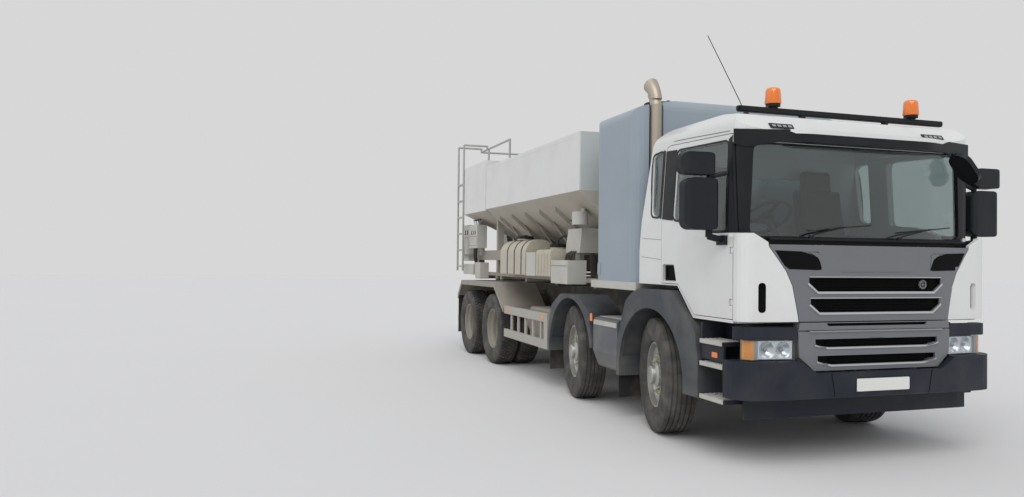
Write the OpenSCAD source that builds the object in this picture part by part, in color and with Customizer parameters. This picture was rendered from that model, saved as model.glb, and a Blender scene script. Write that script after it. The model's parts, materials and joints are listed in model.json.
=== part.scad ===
// Volumetric concrete mixer truck: four-axle chassis, day cab, water tank,
// aggregate bin, cement bin and a slewing mixing auger at the back.
// Module coordinates: x forward from the first axle, y to the left, z up from the ground.

/* [Axles and wheels] */
// First axle to second axle
axle2_back = 1940; // [1700:10:2300]
// Second axle to third axle
axle3_back = 3130; // [2900:10:3600]
// Third axle to fourth axle
bogie = 1355; // [1300:5:1450]
// Tyre radius, which is also the hub height
tyre_r = 525; // [480:5:540]
// Tyre width
tyre_w = 300; // [270:5:310]
// Rim radius at the bead
rim_r = 286; // [270:2:300]
// Middle of a steered tyre from the centre line
steer_y = 1035; // [1010:5:1045]
// Kingpin from the centre line
kingpin_y = 930; // [900:5:940]
// Middle of the outer twin tyre from the centre line
twin_outer_y = 1090; // [1080:5:1100]
// Gap between twin tyres
twin_gap = 35; // [30:1:60]
// Angle to the right at which the first axle's wheels stand
rest_steer = 14; // [0:1:20]
// Share of the first axle's angle that the second axle steers
steer_share = 0.7; // [0.5:0.05:0.9]
// Radius of a wheel spindle
spindle_r = 45; // [40:1:55]
// Radius of a kingpin
kingpin_r = 25; // [20:1:30]
// Running clearance of pins and spindles
run_gap = 0.05; // [0.02:0.01:0.1]
// Clearance between seated pieces
seat_gap = 0.3; // [0.2:0.1:0.6]
// Gap between body panels
panel_gap = 6; // [5:1:10]

/* [Chassis] */
// Outer face of a chassis rail from the centre line
rail_y = 385; // [370:5:400]
// Height of a chassis rail
rail_h = 270; // [240:5:300]
// Flange width of a chassis rail
flange_w = 85; // [70:5:100]
// Plate thickness of a chassis rail
rail_t = 10; // [8:1:14]
// Top of the chassis rails
frame_top = 1020; // [980:5:1040]
// Front end of the chassis rails
frame_front = 1060; // [1000:10:1100]
// Rear end of the chassis rails behind the first axle
frame_back = 7350; // [7200:10:7500]
// Height of the subframe rails on the chassis
subframe_h = 220; // [200:5:240]

/* [Cab] */
// Half width of the cab
cab_y = 1200; // [1180:5:1220]
// Wall thickness of the cab
cab_wall = 45; // [30:1:60]
// Thickness of a door
door_t = 60; // [50:1:70]
// Thickness of a window pane
pane_t = 6; // [5:1:8]
// Depth of a pane below the outer skin
pane_in = 14; // [10:1:20]
// Cab waist, where the front panels end and the windscreen starts
belt_z = 1760; // [1740:5:1780]
// Bottom edge of the doors
door_low = 1132; // [1125:1:1150]
// Foot of the cab above the wheel arch
cab_foot = 1360; // [1345:5:1375]
// Top of the cab roof
roof_z = 2815; // [2780:5:2840]
// Front face of the grille
grille_x = 1462; // [1440:2:1480]
// Front face of the bumper
front_reach = 1530; // [1510:5:1560]
// Half width of the bumper
bumper_y = 1245; // [1220:5:1250]

/* [Body] */
// Half width of the bins and of the water tank
body_y = 1200; // [1150:5:1225]
// Front face of the water tank
tank_front = -390; // [-400:5:-370]
// Length of the water tank
tank_len = 960; // [900:10:1100]
// Top of the water tank
tank_top = 3170; // [3000:10:3250]
// Front wall of the aggregate bin
bin_front = -1750; // [-1800:10:-1650]
// Length of the aggregate bin
bin_len = 3780; // [3600:10:3900]
// Top of the aggregate bin
bin_top = 3030; // [2950:10:3100]
// Lower edge of the upright bin sides
bin_eave = 2360; // [2300:10:2400]
// Wall thickness of the bin
bin_wall = 12; // [8:1:16]
// Half width of the bin's throat
throat_y = 300; // [280:10:340]
// Height of the bin's throat
throat_z = 1650; // [1620:5:1700]
// Length of the cement bin
cement_len = 1320; // [1200:10:1400]
// Top of the cement bin
cement_top = 3140; // [3050:10:3200]
// Floor of the body's white tray
tray_z = 1286; // [1270:2:1300]
// Depth of the body's white tray
tray_h = 77; // [60:1:90]

/* [Mixing auger] */
// Slewing axis behind the first axle
slew_back = 7550; // [7500:10:7650]
// Height of the trough's hinge
lift_z = 1500; // [1480:5:1540]
// Angle at which the trough is stowed
stow_angle = 60; // [50:1:60]
// Length of the trough beyond its hinge
trough_len = 1700; // [1500:10:1800]
// Length of the trough before its hinge
trough_tail = 250; // [220:5:260]
// Outer radius of the trough
trough_r = 190; // [170:5:200]
// Thickness of the trough's plate
trough_t = 8; // [6:1:10]
// Gap between the screw and the trough
screw_gap = 12; // [8:1:16]
// Length of one turn of the screw
screw_pitch = 240; // [200:10:300]
// Thickness of the screw's flight
flight_t = 10; // [8:1:14]

/* [Hidden] */

$fn = 48;
big = 9000;
axle2_x = -axle2_back;
axle3_x = axle2_x - axle3_back;
axle4_x = axle3_x - bogie;
slew_x = -slew_back;
lift_rod_r = 25;
chute_r = 125;
chute_u = trough_len - 170;
chute_w = trough_r + 110;
socket_len = 80;
// Rearmost point of the stowed trough: the mouth of its chute
trough_back = slew_back + (chute_u + chute_r) * cos(stow_angle) + chute_w * sin(stow_angle);
x0 = (trough_back - front_reach) / 2;

// Points of an outline whose corners [x, y, radius] are rounded by arcs
function unit(v) = v / norm(v);
function corner(a, p, b, r, n) =
    let (u = unit(a - p), v = unit(b - p), half = acos(u * v) / 2,
        reach = r / tan(half), c = p + unit(u + v) * r / sin(half),
        s = p + u * reach - c, e = p + v * reach - c,
        from = atan2(s[1], s[0]),
        turn = (atan2(e[1], e[0]) - from + 540) % 360 - 180)
    [for (i = [0:n]) c + r * [cos(from + turn * i / n), sin(from + turn * i / n)]];
function flat(c) = [c[0], c[1]];
function rounded(c, n = 5) = [for (i = [0:len(c) - 1])
    let (m = len(c), p = c[i], a = c[(i + m - 1) % m], b = c[(i + 1) % m])
    each (p[2] > 0 ? corner(flat(a), flat(p), flat(b), p[2], n) : [flat(p)])];
function arc(c, r, from, to, n) =
    [for (i = [0:n]) c + r * [cos(from + (to - from) * i / n), sin(from + (to - from) * i / n)]];
function flip(pts) = [for (i = [len(pts) - 1:-1:0]) pts[i]];
// Outline of a sheet of even depth that hangs below a row of points
function sheet(pts, depth) = concat(pts, flip([for (p = pts) p - [0, depth]]));

module in_frame() translate([x0, 0, 0]) children();
module block(lo, hi) translate(lo) cube(hi - lo);
// Outlines drawn in (y, z), (x, z) and (x, y)
module along_x(x1, x2, pts) translate([x1, 0, 0]) rotate([90, 0, 90])
    linear_extrude(x2 - x1) polygon(pts);
module along_y(y1, y2, pts) translate([0, y2, 0]) rotate([90, 0, 0])
    linear_extrude(y2 - y1) polygon(pts);
module along_z(z1, z2, pts) translate([0, 0, z1]) linear_extrude(z2 - z1) polygon(pts);
module both_sides() {
    children();
    mirror([0, 1, 0]) children();
}
module on_side(side) {
    if (side > 0) children();
    else mirror([0, 1, 0]) children();
}
// Round bar between two points
module bar(a, b, r) {
    d = b - a;
    translate(a) rotate([0, acos(d[2] / norm(d)), atan2(d[1], d[0])]) cylinder(r = r, h = norm(d));
}
module across(x, y1, y2, z, r) translate([x, y2, z]) rotate([90, 0, 0]) cylinder(r = r, h = y2 - y1);

// CHASSIS

web_y = rail_y - rail_t;
flange_y = rail_y - flange_w;
frame_low = frame_top - rail_h;
rail_section = [[rail_y, frame_top], [flange_y, frame_top], [flange_y, frame_top - rail_t],
    [web_y, frame_top - rail_t], [web_y, frame_low + rail_t], [flange_y, frame_low + rail_t],
    [flange_y, frame_low], [rail_y, frame_low]];
spring_half = 790;
spring_y = rail_y + 42;
spring_w = 76;
spring_eye_r = 32;
eye_z = tyre_r + 150;
beam_drop = 80;
beam_half_h = 55;
beam_top = tyre_r - beam_drop + beam_half_h;
hanger_w = 100;
cross_xs = [frame_front - 60, -1150, -2900, -4250, -5740];
cross_w = 90;
cross_h = 140;
rear_face = -frame_back - 14;
trunnion_x = (axle3_x + axle4_x) / 2;
trunnion_z = tyre_r - 10;
trunnion_r = 55;
cab_mount_x = frame_front - 90;
cab_mount_back = -250;
cab_low = door_low - 30;

module chassis_frame() color([0.3, 0.29, 0.28]) {
    both_sides() {
        along_x(-frame_back, frame_front, rail_section);
        for (axle = [0, axle2_x], end = [-1, 1])
            block([axle + end * (spring_half - spring_eye_r) - hanger_w / 2, rail_y + seat_gap,
                    eye_z + spring_eye_r + seat_gap],
                [axle + end * (spring_half - spring_eye_r) + hanger_w / 2, spring_y + spring_w / 2,
                    frame_top - 2 * rail_t]);
        trunnion_bracket();
        cab_mounts();
    }
    for (x = cross_xs) cross_member(x);
    block([rear_face, -rail_y, frame_low], [-frame_back - seat_gap, rail_y, frame_top]);
    underrun_bar();
    slew_bracket();
}
module cross_member(x) {
    mid = frame_top - rail_h / 2;
    half = web_y - seat_gap;
    block([x - cross_w / 2, -half, mid - cross_h / 2], [x - cross_w / 2 + rail_t, half, mid + cross_h / 2]);
    for (z = [mid - cross_h / 2, mid + cross_h / 2 - rail_t])
        block([x - cross_w / 2, -half, z], [x + cross_w / 2, half, z + rail_t]);
}
module trunnion_bracket() {
    half = 150;
    along_y(rail_y + seat_gap, rail_y + rail_t, [[trunnion_x - half, frame_top - 40], [trunnion_x - trunnion_r,
        trunnion_z - trunnion_r], [trunnion_x + trunnion_r, trunnion_z - trunnion_r],
        [trunnion_x + half, frame_top - 40]]);
    across(trunnion_x, rail_y + seat_gap, bogie_spring_y + bogie_spring_w / 2, trunnion_z, trunnion_r);
}
// Cab mounts stand on the rails and end just below the cab's floor
module cab_mounts() {
    block([cab_mount_x - 50, flange_y, frame_top + seat_gap], [cab_mount_x + 50, rail_y, cab_low - seat_gap]);
    block([cab_mount_back - 40, flange_y, frame_top + seat_gap], [cab_mount_back + 40, rail_y, cab_foot - seat_gap]);
}
underrun_y = 1150;
underrun_z = 520;
module underrun_bar() {
    block([rear_face - 60, -underrun_y, underrun_z - 50], [rear_face, underrun_y, underrun_z + 50]);
    for (y = [-1, 1]) block([rear_face - 40, y * 340 - 30, underrun_z], [rear_face - seat_gap, y * 340 + 30, frame_low + 60]);
}
// Bracket behind the rails that holds the auger's slewing post
post_r = 60;
boss_r = 105;
bracket_x = rear_face - seat_gap;
slew_top = frame_top + 60;
module slew_bracket() difference() {
    union() {
        for (z = [frame_top - 160, slew_top - 30])
            along_z(z, z + 30, concat([[bracket_x, 250], [bracket_x, -250]], arc([slew_x, 0], boss_r, -90, -270, 12)));
        block([bracket_x - 14, -250, frame_top - 160], [bracket_x, 250, slew_top]);
        translate([slew_x, 0, frame_top - 160]) cylinder(r = boss_r - 10, h = slew_top - frame_top + 160);
    }
    translate([slew_x, 0, frame_low]) cylinder(r = post_r + run_gap, h = 2 * rail_h);
}

// Front beams, bogie housings and the propeller shaft
spindle_len = 170;
hub_y = steer_y + 60;
eye_half = 80;
housing_end = twin_outer_y - tyre_w - twin_gap - tyre_w / 2 - 30;
housing_r = 72;
bowl_r = 205;
shaft_r = 55;
bearing_in = 30;

module axles() color([0.26, 0.25, 0.24]) {
    for (x = [0, axle2_x]) translate([x, 0, 0]) front_beam();
    for (x = [axle3_x, axle4_x]) translate([x, 0, 0]) rear_housing();
    leaf_springs();
    bar([axle3_x + bowl_r + 90, 0, tyre_r + 20], [gearbox_back - 8, 0, gearbox_z], shaft_r);
    bar([axle4_x + bowl_r + 90, 0, tyre_r + 20], [axle3_x - bowl_r / 2, 0, tyre_r + 20], shaft_r);
}
module front_beam() {
    path = [[-kingpin_y, tyre_r], [-kingpin_y + 180, tyre_r], [-kingpin_y + 270, tyre_r - beam_drop],
        [kingpin_y - 270, tyre_r - beam_drop], [kingpin_y - 180, tyre_r], [kingpin_y, tyre_r]];
    top = [for (p = path) p + [0, beam_half_h]];
    lip = 22;
    difference() {
        union() {
            along_x(-12, 12, sheet(top, 2 * beam_half_h));
            along_x(-45, 45, sheet(top, lip));
            along_x(-45, 45, sheet([for (p = top) p - [0, 2 * beam_half_h - lip]], lip));
            for (y = [-1, 1]) translate([0, y * kingpin_y, tyre_r - eye_half])
                cylinder(r = 2 * kingpin_r, h = 2 * eye_half);
        }
        for (y = [-1, 1]) translate([0, y * kingpin_y, tyre_r - 2 * eye_half])
            cylinder(r = kingpin_r + run_gap, h = 4 * eye_half);
    }
}
module rear_housing() {
    translate([0, 0, tyre_r]) {
        rotate([90, 0, 0]) cylinder(r = housing_r, h = 2 * housing_end, center = true);
        rotate([90, 0, 0]) rotate_extrude()
            polygon(rounded([[0, -130, 0], [bowl_r, -100, 60], [bowl_r, 100, 60], [0, 130, 0]]));
        rotate([90, 0, 0]) cylinder(r = spindle_r, h = 2 * (twin_outer_y - bearing_in), center = true);
        translate([bowl_r / 2, 0, 20]) rotate([0, 90, 0]) cylinder(r1 = 120, r2 = 80, h = bowl_r / 2 + 90);
    }
}

bogie_spring_y = rail_y + 70;
bogie_spring_w = 90;
module leaf_springs() both_sides() {
    for (x = [0, axle2_x]) translate([x, spring_y, 0]) front_spring();
    translate([trunnion_x, bogie_spring_y, 0]) bogie_spring();
}
// Two parabolic leaves that bow down onto the beam, as one closed outline
module front_spring() {
    seat = beam_top + seat_gap;
    end = spring_half - 2 * spring_eye_r;
    along_y(-spring_w / 2, spring_w / 2, concat([[-90, seat], [90, seat], [90, seat + 24]],
        [[end, eye_z - 10], [end, eye_z + 12], [400, seat + 135], [90, seat + 76], [-90, seat + 76],
        [-400, seat + 135], [-end, eye_z + 12], [-end, eye_z - 10], [-90, seat + 24]]));
    for (e = [-1, 1]) across(e * (end + spring_eye_r - 4), -spring_w / 2, spring_w / 2, eye_z, spring_eye_r);
}
// Stacked leaves from axle to axle over the trunnion
module bogie_spring() {
    low = trunnion_z + trunnion_r + seat_gap;
    end_z = tyre_r + housing_r + seat_gap;
    leaf = 18;
    for (i = [0:4]) {
        half = bogie / 2 + 70 - i * 120;
        z = end_z + i * leaf;
        block([-half, -bogie_spring_w / 2, z], [half, bogie_spring_w / 2, z + leaf]);
    }
    block([-80, -bogie_spring_w / 2, low], [80, bogie_spring_w / 2, end_z + 1]);
}

// One plain mass for the engine, with its gearbox and its feet
engine_front = 820;
engine_back = -340;
gearbox_back = -1000;
gearbox_z = 740;
module engine_block() color([0.35, 0.36, 0.37]) {
    half = flange_y - 20;
    block([engine_back, -half, frame_low - 110], [engine_front, half, door_low - 60]);
    along_y(-half * 0.7, half * 0.7, [[engine_back + 1, frame_low - 60], [engine_back + 1, frame_top + 40],
        [gearbox_back, gearbox_z + 110], [gearbox_back, gearbox_z - 110]]);
    for (x = [engine_front - 120, engine_back + 120])
        block([x - 40, -flange_y + seat_gap, frame_top - 40], [x + 40, flange_y - seat_gap, frame_top]);
}

// WHEELS

// A wheel is drawn at the origin with its axis along y and its outer face towards +y
module tyre(y) {
    half = tyre_w / 2;
    tread = half - 22;
    bead = rim_half - rim_t - 7;
    side_r = (rim_r + tyre_r) / 2;
    translate([0, y, 0]) rotate([-90, 0, 0]) rotate_extrude($fn = 64) polygon([
        [rim_r + seat_gap, -bead], [side_r, -half], [tyre_r - 45, -half + 6], [tyre_r - 8, -tread],
        [tyre_r, -tread * 0.7], [tyre_r, tread * 0.7], [tyre_r - 8, tread], [tyre_r - 45, half - 6],
        [side_r, half], [rim_r + seat_gap, bead]]);
}
rim_t = 8;
lip_r = rim_r + 14;
barrel_r = rim_r - 26;
// Rim section of a disc wheel, whose disc meets the barrel on the outer (1) or inner (-1) side
function rim_barrel(w) = [[rim_r - 4, -w], [lip_r, -w], [lip_r, -w + rim_t], [rim_r, -w + rim_t + 6],
    [rim_r, -w + 60], [barrel_r + rim_t, -w + 80], [barrel_r + rim_t, w - 80], [rim_r, w - 60],
    [rim_r, w - rim_t - 6], [lip_r, w - rim_t], [lip_r, w], [rim_r - 4, w], [rim_r - rim_t, w - 50],
    [barrel_r, w - 80], [barrel_r, -w + 80], [rim_r - rim_t, -w + 50]];
rim_half = tyre_w / 2 - 36;
hub_r = 112;
pitch_r = 168;
hand_hole_r = 26;
hand_holes = 8;
module turned(pts) rotate([-90, 0, 0]) rotate_extrude($fn = 64) polygon(pts);
module hand_hole_ring(y1, y2, r) for (i = [0:hand_holes - 1]) rotate([0, i * 360 / hand_holes, 0])
    translate([0, y1, r]) rotate([-90, 0, 0]) cylinder(r = hand_hole_r, h = y2 - y1, $fn = 24);

// Steered wheel: the disc bulges outwards, with the hub in its middle
module steer_rim() color([0.75, 0.75, 0.74]) {
    face = hub_y - steer_y;
    bore = spindle_r + run_gap;
    difference() {
        union() {
            turned(rim_barrel(rim_half));
            turned([[hub_r - 10, face], [pitch_r + 30, face], [barrel_r + 2, face - 60],
                [barrel_r + 2, face - 75], [pitch_r + 30, face - 12], [hub_r - 10, face - 12]]);
            turned(rounded([[bore, face - 78, 0], [hub_r, face - 78, 0], [hub_r, face + 40, 0],
                [hub_r - 26, face + 60, 0], [hub_r - 32, face + 100, 14], [0, face + 100, 0],
                [0, face + 76, 0], [bore, face + 76, 0]], 3));
            turned([[hub_r - 2, face - 14], [pitch_r + 10, face - 14], [drum_r, face - 40], [drum_r, face - 150],
                [drum_r - 12, face - 150], [drum_r - 12, face - 46], [pitch_r, face - 28], [hub_r - 2, face - 28]]);
        }
        hand_hole_ring(face - 80, face + 2, (pitch_r + 30 + barrel_r) / 2);
    }
}
drum_r = 205;
// Twin wheel: two dished discs bolted back to back on one long hub
module twin_rims() color([0.62, 0.6, 0.56]) {
    mid = twin_gap / 2 + tyre_w / 2;
    bore = spindle_r + run_gap;
    difference() {
        union() {
            for (s = [-1, 1]) {
                turned([for (p = rim_barrel(rim_half)) [p[0], p[1] + s * mid]]);
                turned([[hub_r - 10, s * 1], [pitch_r + 30, s * 1], [barrel_r + 2, s * 140],
                    [barrel_r + 2, s * 156], [pitch_r + 30, s * 15], [hub_r - 10, s * 15]]);
            }
            turned(rounded([[bore, -mid, 0], [hub_r, -mid, 0], [hub_r, 40, 0], [hub_r - 20, 60, 0],
                [hub_r - 20, mid + 10, 20], [0, mid + 10, 0], [0, mid - bearing_in + 20, 0],
                [bore, mid - bearing_in + 20, 0]], 3));
            turned([[hub_r - 2, -60], [drum_r, -60], [drum_r, -mid - 60], [drum_r - 12, -mid - 60],
                [drum_r - 12, -74], [hub_r - 2, -74]]);
        }
        for (s = [-1, 1]) hand_hole_ring(s * 70 - 75, s * 70 + 75, (pitch_r + 30 + barrel_r) / 2);
    }
}
// Steered pieces stand turned about their kingpins
function rest_turn(axle) = axle == 1 ? -rest_steer : -rest_steer * steer_share;
module at_kingpin(axle, side) translate([axle == 1 ? 0 : axle2_x, side * kingpin_y, tyre_r])
    rotate([0, 0, rest_turn(axle)]) on_side(side) children();
module steer_tyre(axle, side) color([0.16, 0.16, 0.16])
    at_kingpin(axle, side) tyre(steer_y - kingpin_y);
module steer_rim_at(axle, side) at_kingpin(axle, side) translate([0, steer_y - kingpin_y, 0]) steer_rim();
module at_twin(axle, side) translate([axle == 3 ? axle3_x : axle4_x, 0, tyre_r])
    on_side(side) translate([0, twin_outer_y - tyre_w / 2 - twin_gap / 2, 0]) children();
module twin_tyres(axle, side) color([0.16, 0.16, 0.16]) at_twin(axle, side)
    for (s = [-1, 1]) tyre(s * (tyre_w + twin_gap) / 2);

// Fork, kingpin and stub axle in one piece
module knuckle(axle, side) color([0.3, 0.3, 0.3]) at_kingpin(axle, side) {
    ear_t = 32;
    ear_r = 2 * kingpin_r + 12;
    back = ear_r + 6;
    reach = hub_y - kingpin_y + 60;
    for (s = [-1, 1]) fork_ear(s, ear_t, ear_r, back);
    block([-ear_r, back - 12, -eye_half - ear_t], [ear_r, back + 14, eye_half + ear_t]);
    translate([0, 0, -eye_half - ear_t]) cylinder(r = kingpin_r, h = 2 * (eye_half + ear_t));
    rotate([-90, 0, 0]) translate([0, 0, back]) cylinder(r = spindle_r, h = reach - back);
}
module fork_ear(s, ear_t, ear_r, back) {
    z = s > 0 ? eye_half + seat_gap : -eye_half - ear_t;
    translate([0, 0, z]) {
        cylinder(r = ear_r, h = ear_t - seat_gap);
        translate([-ear_r, 0, 0]) cube([2 * ear_r, back, ear_t - seat_gap]);
    }
}

// CAB

cab_nose = 1322;
seam_x = 1285;
skin_t = 30;
// The cab's outer shape, drawn in by t all round, as three crossed outlines
function cab_side(t) = rounded([[-330 + t, cab_foot + t, 0], [450 + t, cab_foot + t, 0],
    [710 + t, cab_low + t, 0], [cab_nose - t, cab_low + t, 0], [cab_nose - t, belt_z - t, 0],
    [1372 - t, belt_z - t, 0], [1302 - t, 2580 - t, 40], [1180 - t, roof_z - 80 - t, 60],
    [650, roof_z - t, 400], [-20 + t, roof_z - 35 - t, 110], [-95 + t, 2620 - t, 60]], 4);
function cab_front(t) = let (y = cab_y - t) rounded([[y, cab_low + t, 0], [y, 1950, 0],
    [y - 50, roof_z - 130 - t, 110], [y - 230, roof_z - t, 300], [230 - y, roof_z - t, 300],
    [50 - y, roof_z - 130 - t, 110], [-y, 1950, 0], [-y, cab_low + t, 0]], 4);
function cab_plan(t) = let (y = cab_y - t) rounded([[-335 + t, y, 90], [1236 - t, y, 130],
    [1330 - t, y * 0.55, 900], [1330 - t, -y * 0.55, 900], [1236 - t, -y, 130], [-335 + t, -y, 90]], 5);
// The nose stays inside the rounding of the corner panels
nose_in = skin_t + 5.2;
function cab_plan_low(t) = let (y = cab_y - t, in = y - nose_in) rounded([[-335 + t, y, 90],
    [seam_x - t, y, 0], [seam_x - t, in, 0], [seam_x + 22 - t, in, 0], [cab_nose - t, in - 35, 0],
    [cab_nose - t, 35 - in, 0], [seam_x + 22 - t, -in, 0], [seam_x - t, -in, 0], [seam_x - t, -y, 0], [-335 + t, -y, 90]], 5);
module cab_solid(t) intersection() {
    along_y(-cab_y, cab_y, cab_side(t));
    along_x(-400, 1500, cab_front(t));
    union() {
        along_z(cab_low - 10, belt_z + 2 - t, cab_plan_low(t));
        along_z(cab_low - 10, roof_z + 10, cab_plan(t));
    }
}
// Outlines of the openings, grown outwards by g
function door_edge(g) = rounded([[1279 + g, door_low - g, 0], [728 - g * 0.4, door_low - g, 0],
    [462 - g, cab_foot + 17 - g, 0], [167 - g, cab_foot + 17 - g, 0], [167 - g, 2600 + g, 70],
    [1222 + g, 2566 + g, 40], [1240 + g, 1800, 0], [1279 + g, 1790, 0]], 4);
function door_window(g) = rounded([[371 - g, 2535 + g, 40], [1160 + g, 2512 + g, 60],
    [1180 + g, 1815 - g, 30], [960 + g, 1820 - g, 80], [700 - g, 1905 - g, 80], [371 - g, 1935 - g, 40]], 3);
function side_window(g) = rounded([[-70 - g, 2540 + g, 60], [120 + g, 2560 + g, 30],
    [120 + g, 1965 - g, 30], [-30 - g, 1985 - g, 80]], 4);
function screen_edge(g) = rounded([[1040 + g, belt_z + 14 - g, 60], [1010 + g, 2490 + g, 60],
    [-1010 - g, 2490 + g, 60], [-1040 - g, belt_z + 14 - g, 60]], 3);

// Hinges: door pins stand in notches of the door's front edge
hinge_x = 1260;
hinge_y = cab_y - 14;
hinge_zs = [1260, 1660];
hinge_pin_r = 8;
hatch_pin = [1395, 1700];
hatch_arm_y = 500;
hatch_pin_r = 5;
module cab_shell() color([0.9, 0.9, 0.88]) {
    cab_panels();
    both_sides() for (z = hinge_zs) difference() {
        along_z(z - 20, z + 20, concat(arc([hinge_x, hinge_y], hinge_pin_r + 6, 40, 220, 8),
            [[seam_x + 8, cab_y - 78], [seam_x + 22, cab_y - 62]]));
        translate([hinge_x, hinge_y, z - 30]) cylinder(r = hinge_pin_r + run_gap, h = 60);
    }
    for (y = [-hatch_arm_y, hatch_arm_y]) difference() {
        along_y(y - 18, y + 18, concat([[cab_nose - 4, hatch_pin[1] + 10], [cab_nose - 4, hatch_pin[1] - 10]],
            arc(hatch_pin, hatch_pin_r + 5, -90, 90, 8)));
        across(hatch_pin[0], y - 30, y + 30, hatch_pin[1], hatch_pin_r + run_gap);
    }
}
module cab_panels() difference() {
    cab_solid(0);
    cab_solid(cab_wall);
    both_sides() along_y(cab_y - cab_wall * 3, cab_y + 10, door_edge(panel_gap));
    both_sides() along_y(cab_y - cab_wall * 3, cab_y + 10, side_window(0));
    along_x(1050, 1500, screen_edge(0));
    along_x(-400, -40, rounded([[700, 2380, 60], [-700, 2380, 60], [-700, 1950, 60], [700, 1950, 60]], 3));
}
// A pane is a thin layer of the cab's own shape, cut to its opening
module pane_layer() difference() {
    cab_solid(pane_in);
    cab_solid(pane_in + pane_t);
}
module cab_glass() color([0.45, 0.55, 0.55, 0.5]) {
    intersection() {
        pane_layer();
        along_x(1050, 1500, screen_edge(-seat_gap));
    }
    both_sides() intersection() {
        pane_layer();
        along_y(cab_y - 200, cab_y + 10, side_window(-seat_gap));
    }
    intersection() {
        pane_layer();
        along_x(-400, -40, rounded([[700 - seat_gap, 2380 - seat_gap, 60], [seat_gap - 700, 2380 - seat_gap, 60],
            [seat_gap - 700, 1950 + seat_gap, 60], [700 - seat_gap, 1950 + seat_gap, 60]], 3));
    }
}
// Grab recess at the door's lower rear corner
grab = rounded([[185, 1392, 12], [430, 1392, 12], [385, 1545, 25], [185, 1545, 25]], 3);
module door(side) color([0.9, 0.9, 0.88]) on_side(side) {
    difference() {
        intersection() {
            difference() {
                cab_solid(0);
                cab_solid(door_t);
            }
            along_y(cab_y - 110, cab_y + 10, door_edge(0));
        }
        along_y(cab_y - 300, cab_y + 10, door_window(0));
        along_y(cab_y - 28, cab_y + 10, grab);
        for (z = hinge_zs) block([hinge_x - 24, cab_y - 90, z - 26], [seam_x + 20, cab_y + 10, z + 26]);
    }
    for (z = hinge_zs) translate([hinge_x, hinge_y, z - 40]) cylinder(r = hinge_pin_r, h = 80);
}
module door_glass(side) color([0.45, 0.55, 0.55, 0.5]) on_side(side) intersection() {
    pane_layer();
    along_y(cab_y - 200, cab_y + 10, door_window(-seat_gap));
}

// Mirror heads on two arms, which stand on the door
mirror_x = 1150;
mirror_depth = 120;
module mirror_pair(side) color([0.17, 0.19, 0.22]) on_side(side) {
    // low, high, inner and outer edge of each head
    for (h = [[1815, 2215, 1262, 1560, 70], [2240, 2412, 1290, 1590, 60]])
        intersection() {
            along_x(mirror_x - mirror_depth, mirror_x + mirror_depth, rounded([[h[2], h[0], h[4]],
                [h[3], h[0], h[4]], [h[3], h[1], h[4]], [h[2], h[1], h[4]]], 4));
            along_z(h[0] - 1, h[1] + 1, rounded([[mirror_x - mirror_depth / 2, h[2] - 1, 10],
                [mirror_x + mirror_depth / 2, h[2] - 1, 50], [mirror_x + mirror_depth / 2, h[3] + 1, 50],
                [mirror_x - mirror_depth / 2, h[3] + 1, 10]], 4));
        }
    arm_y = 1330;
    bar([mirror_x, arm_y, 2200], [mirror_x, arm_y, 2260], 22);
    bar([mirror_x, arm_y, 2228], [mirror_x + 30, cab_y - 14, 2262], 18);
    bar([mirror_x, arm_y, 1830], [mirror_x, arm_y, 1760], 26);
    bar([mirror_x, arm_y, 1765], [mirror_x, cab_y + seat_gap + 12, 1740], 26);
    block([mirror_x - 60, cab_y + seat_gap, 1700], [mirror_x + 60, cab_y + 26, 1775]);
}

visor_low = 2462;
visor_x = 1232;
module cab_trim() {
    sun_visor();
    front_mirror();
    scuttle();
}
// Oval mirror in front of the left corner, on a stay from the visor
module front_mirror() color([0.1, 0.1, 0.11]) {
    bar([1302, 925, visor_low + 48], [1390, 950, visor_low - 70], 13);
    translate([1400, 955, visor_low - 90]) rotate([-48, 0, 0]) linear_extrude(42, center = true)
        polygon(rounded([[-95, -150, 90], [95, -150, 90], [95, 150, 90], [-95, 150, 90]], 6));
}
module sun_visor() color([0.1, 0.1, 0.11]) difference() {
    intersection() {
        along_z(visor_low, 2600, rounded([[visor_x, 1168, 0], [visor_x + 8, 1168, 7], [1400, 600, 500],
            [1400, -600, 500], [visor_x + 8, -1168, 7], [visor_x, -1168, 0]], 5));
        along_x(visor_x, 1500, rounded([[-1200, 2600, 0], [-1200, visor_low + 30, 40], [-1080, visor_low, 60],
            [-820, visor_low + 42, 200], [820, visor_low + 42, 200], [1080, visor_low, 60],
            [1200, visor_low + 30, 40], [1200, 2600, 0]], 4));
    }
    cab_solid(-seat_gap);
}
// Shelf between the grille and the windscreen, with the wiper spindles
module scuttle() color([0.1, 0.1, 0.11]) {
    intersection() {
        along_z(belt_z - 16, belt_z - 2, front_plan(14));
        block([cab_nose + seat_gap, -955, belt_z - 20], [1405, 955, belt_z]);
    }
    for (y = [-560, 300]) translate([1375, y, belt_z - 4]) cylinder(r = 16, h = 22);
}

// Light bar on two feet, with a beacon near each end
beacon_y = 700;
bar_x = 1080;
bar_z = 2800;
function roof_at(x) = roof_z - 80 * (x - 650) / 530;
module roof_lights() color([0.9, 0.45, 0.1]) {
    across(bar_x, -1036, 1036, bar_z, 16);
    for (y = [-beacon_y, beacon_y]) translate([bar_x, y, bar_z]) {
        translate([-26, -26, 10]) cube([52, 52, 20]);
        translate([0, 0, 29]) cylinder(r = 58, h = 22);
        translate([0, 0, 50]) cylinder(r1 = 54, r2 = 46, h = 96);
    }
    for (y = [-420, 420]) block([bar_x - 20, y - 20, roof_at(bar_x - 20) + seat_gap + 0.2], [bar_x + 20, y + 20, bar_z + 2]);
}

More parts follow.
